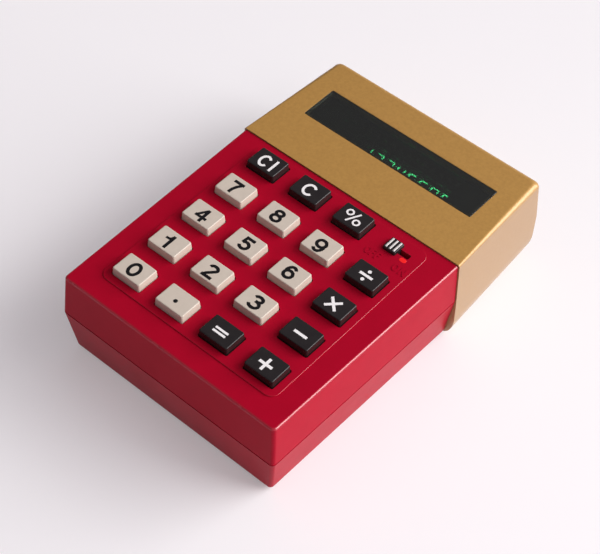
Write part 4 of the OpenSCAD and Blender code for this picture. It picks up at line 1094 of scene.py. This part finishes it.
# ---------- Batteries ----------
# Four cells in a row in plain dark sleeves, pointing opposite ways in turn, between
# plated contact plates and coil springs. Two wires run up to the main board, and a
# sheet of insulating paper lies over the bay.

cell_jacket = surface("cell_sleeve", (0.07, 0.07, 0.08), (0.10, 0.10, 0.11), 0.3, patch=8,
                      grain=0.6, depth=0.004, coat=0.4)
dress("battery_cells", cell_jacket)
plate = surface("nickel_plate", (0.66, 0.65, 0.61), (0.5, 0.49, 0.45), 0.28, patch=1.5, grain=0.15,
                depth=0.004, metallic=1)
dress("battery_springs", plate)
dress("battery_plates", plate)
dress("lead_plus", surface("red_wire", (0.45, 0.02, 0.015), (0.36, 0.015, 0.012), 0.45, patch=1.5,
                           grain=0.2, depth=0.006))
dress("lead_minus", surface("black_wire", (0.02, 0.02, 0.02), (0.035, 0.035, 0.035), 0.45,
                            patch=1.5, grain=0.2, depth=0.006))
dress("insulating_sheet", surface("fish_paper", (0.52, 0.43, 0.24), (0.44, 0.36, 0.20), 0.75,
                                  patch=1.2, grain=0.1, depth=0.008))


# ---------- Feet ----------
# Four black rubber discs, two under the front and two under the cap. Each is punched
# from sheet, glued into a shallow pocket, and has a soft lower edge.

feet = []
for x, y in front_feet + back_feet:
    levels = [(0.0, 0.35), (0.1, 0.12), (0.3, 0.0), (feet_high.z, 0.0)]
    feet.append(loft([at_height(circle(x, y, foot_r - inset), z) for z, inset in levels]))
feet_discs = piece("feet_discs", gather(*feet), soft_black)
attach(feet_discs, "case")
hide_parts("rubber_feet")


# ---------- Floor and light ----------
# A plain white table in a room that is brighter on the right: one big softbox from the
# right and behind, a small one close by on the right, and a weak one at the left front.
# The table's white is lifted a little where it is seen, mirrored or shows through glass.

paper = surface("table_white", (0.95, 0.93, 0.94), (0.93, 0.91, 0.92), 0.6, patch=60, grain=0.8,
                depth=0.002)


def lift_white(material, share):
    """Mixes a share of pure white into a material where it is seen or mirrored."""
    nodes, links = material.node_tree.nodes, material.node_tree.links
    white = nodes.new("ShaderNodeEmission")
    rays = nodes.new("ShaderNodeLightPath")
    amount = nodes.new("ShaderNodeMath")
    amount.operation = "MULTIPLY"
    amount.inputs[1].default_value = share
    blend = nodes.new("ShaderNodeMixShader")
    looked_at = rays.outputs["Is Camera Ray"]
    for ray in ("Is Glossy Ray", "Is Transmission Ray"):
        either = nodes.new("ShaderNodeMath")
        either.operation = "MAXIMUM"
        links.new(looked_at, either.inputs[0])
        links.new(rays.outputs[ray], either.inputs[1])
        looked_at = either.outputs["Value"]
    links.new(looked_at, amount.inputs[0])
    links.new(amount.outputs["Value"], blend.inputs["Fac"])
    links.new(nodes["Principled BSDF"].outputs["BSDF"], blend.inputs[1])
    links.new(white.outputs["Emission"], blend.inputs[2])
    links.new(blend.outputs["Shader"], nodes["Material Output"].inputs["Surface"])


reach = 2500
table_bm = bmesh.new()
for x, y in ((-reach, -reach), (reach, -reach), (reach, reach), (-reach, reach)):
    table_bm.verts.new((x, y, 0))
table_bm.faces.new(table_bm.verts)
table = piece("table", table_bm, paper)
lift_white(paper, 0.25)

world = bpy.data.worlds.new("studio")
bpy.context.scene.world = world
world.use_nodes = True
world_nodes, world_links = world.node_tree.nodes, world.node_tree.links
room = world_nodes["Background"]
room.inputs["Color"].default_value = (1.0, 0.87, 0.97, 1)
direction = world_nodes.new("ShaderNodeTexCoord")
towards = world_nodes.new("ShaderNodeVectorMath")
towards.operation = "DOT_PRODUCT"
towards.inputs[1].default_value = (0.93, 0.25, 0.26)
wall_light = world_nodes.new("ShaderNodeMapRange")
wall_light.inputs["From Min"].default_value = -0.75
wall_light.inputs["To Min"].default_value = 0.02
wall_light.inputs["To Max"].default_value = 0.64
world_links.new(direction.outputs["Generated"], towards.inputs[0])
world_links.new(towards.outputs["Value"], wall_light.inputs["Value"])
world_links.new(wall_light.outputs["Result"], room.inputs["Strength"])


aim = Vector((0, 0, 0.015))


def soft_light(name, place, width, height, power):
    """A studio softbox that points at the object, in metres and watts."""
    data = bpy.data.lights.new(name, "AREA")
    data.shape = "RECTANGLE"
    data.energy = power
    data.size = width
    data.size_y = height
    light = bpy.data.objects.new(name, data)
    light.location = place
    light.rotation_euler = (aim - Vector(place)).to_track_quat("-Z", "Y").to_euler()
    bpy.context.scene.collection.objects.link(light)


soft_light("main_light", (2.26, 2.13, 1.58), 3.6, 2.4, 175)
soft_light("near_light", (0.17, 0.0, 0.24), 0.1, 0.1, 0.10)
soft_light("fill_light", (-0.6, -0.5, 0.6), 0.7, 0.7, 0.2)
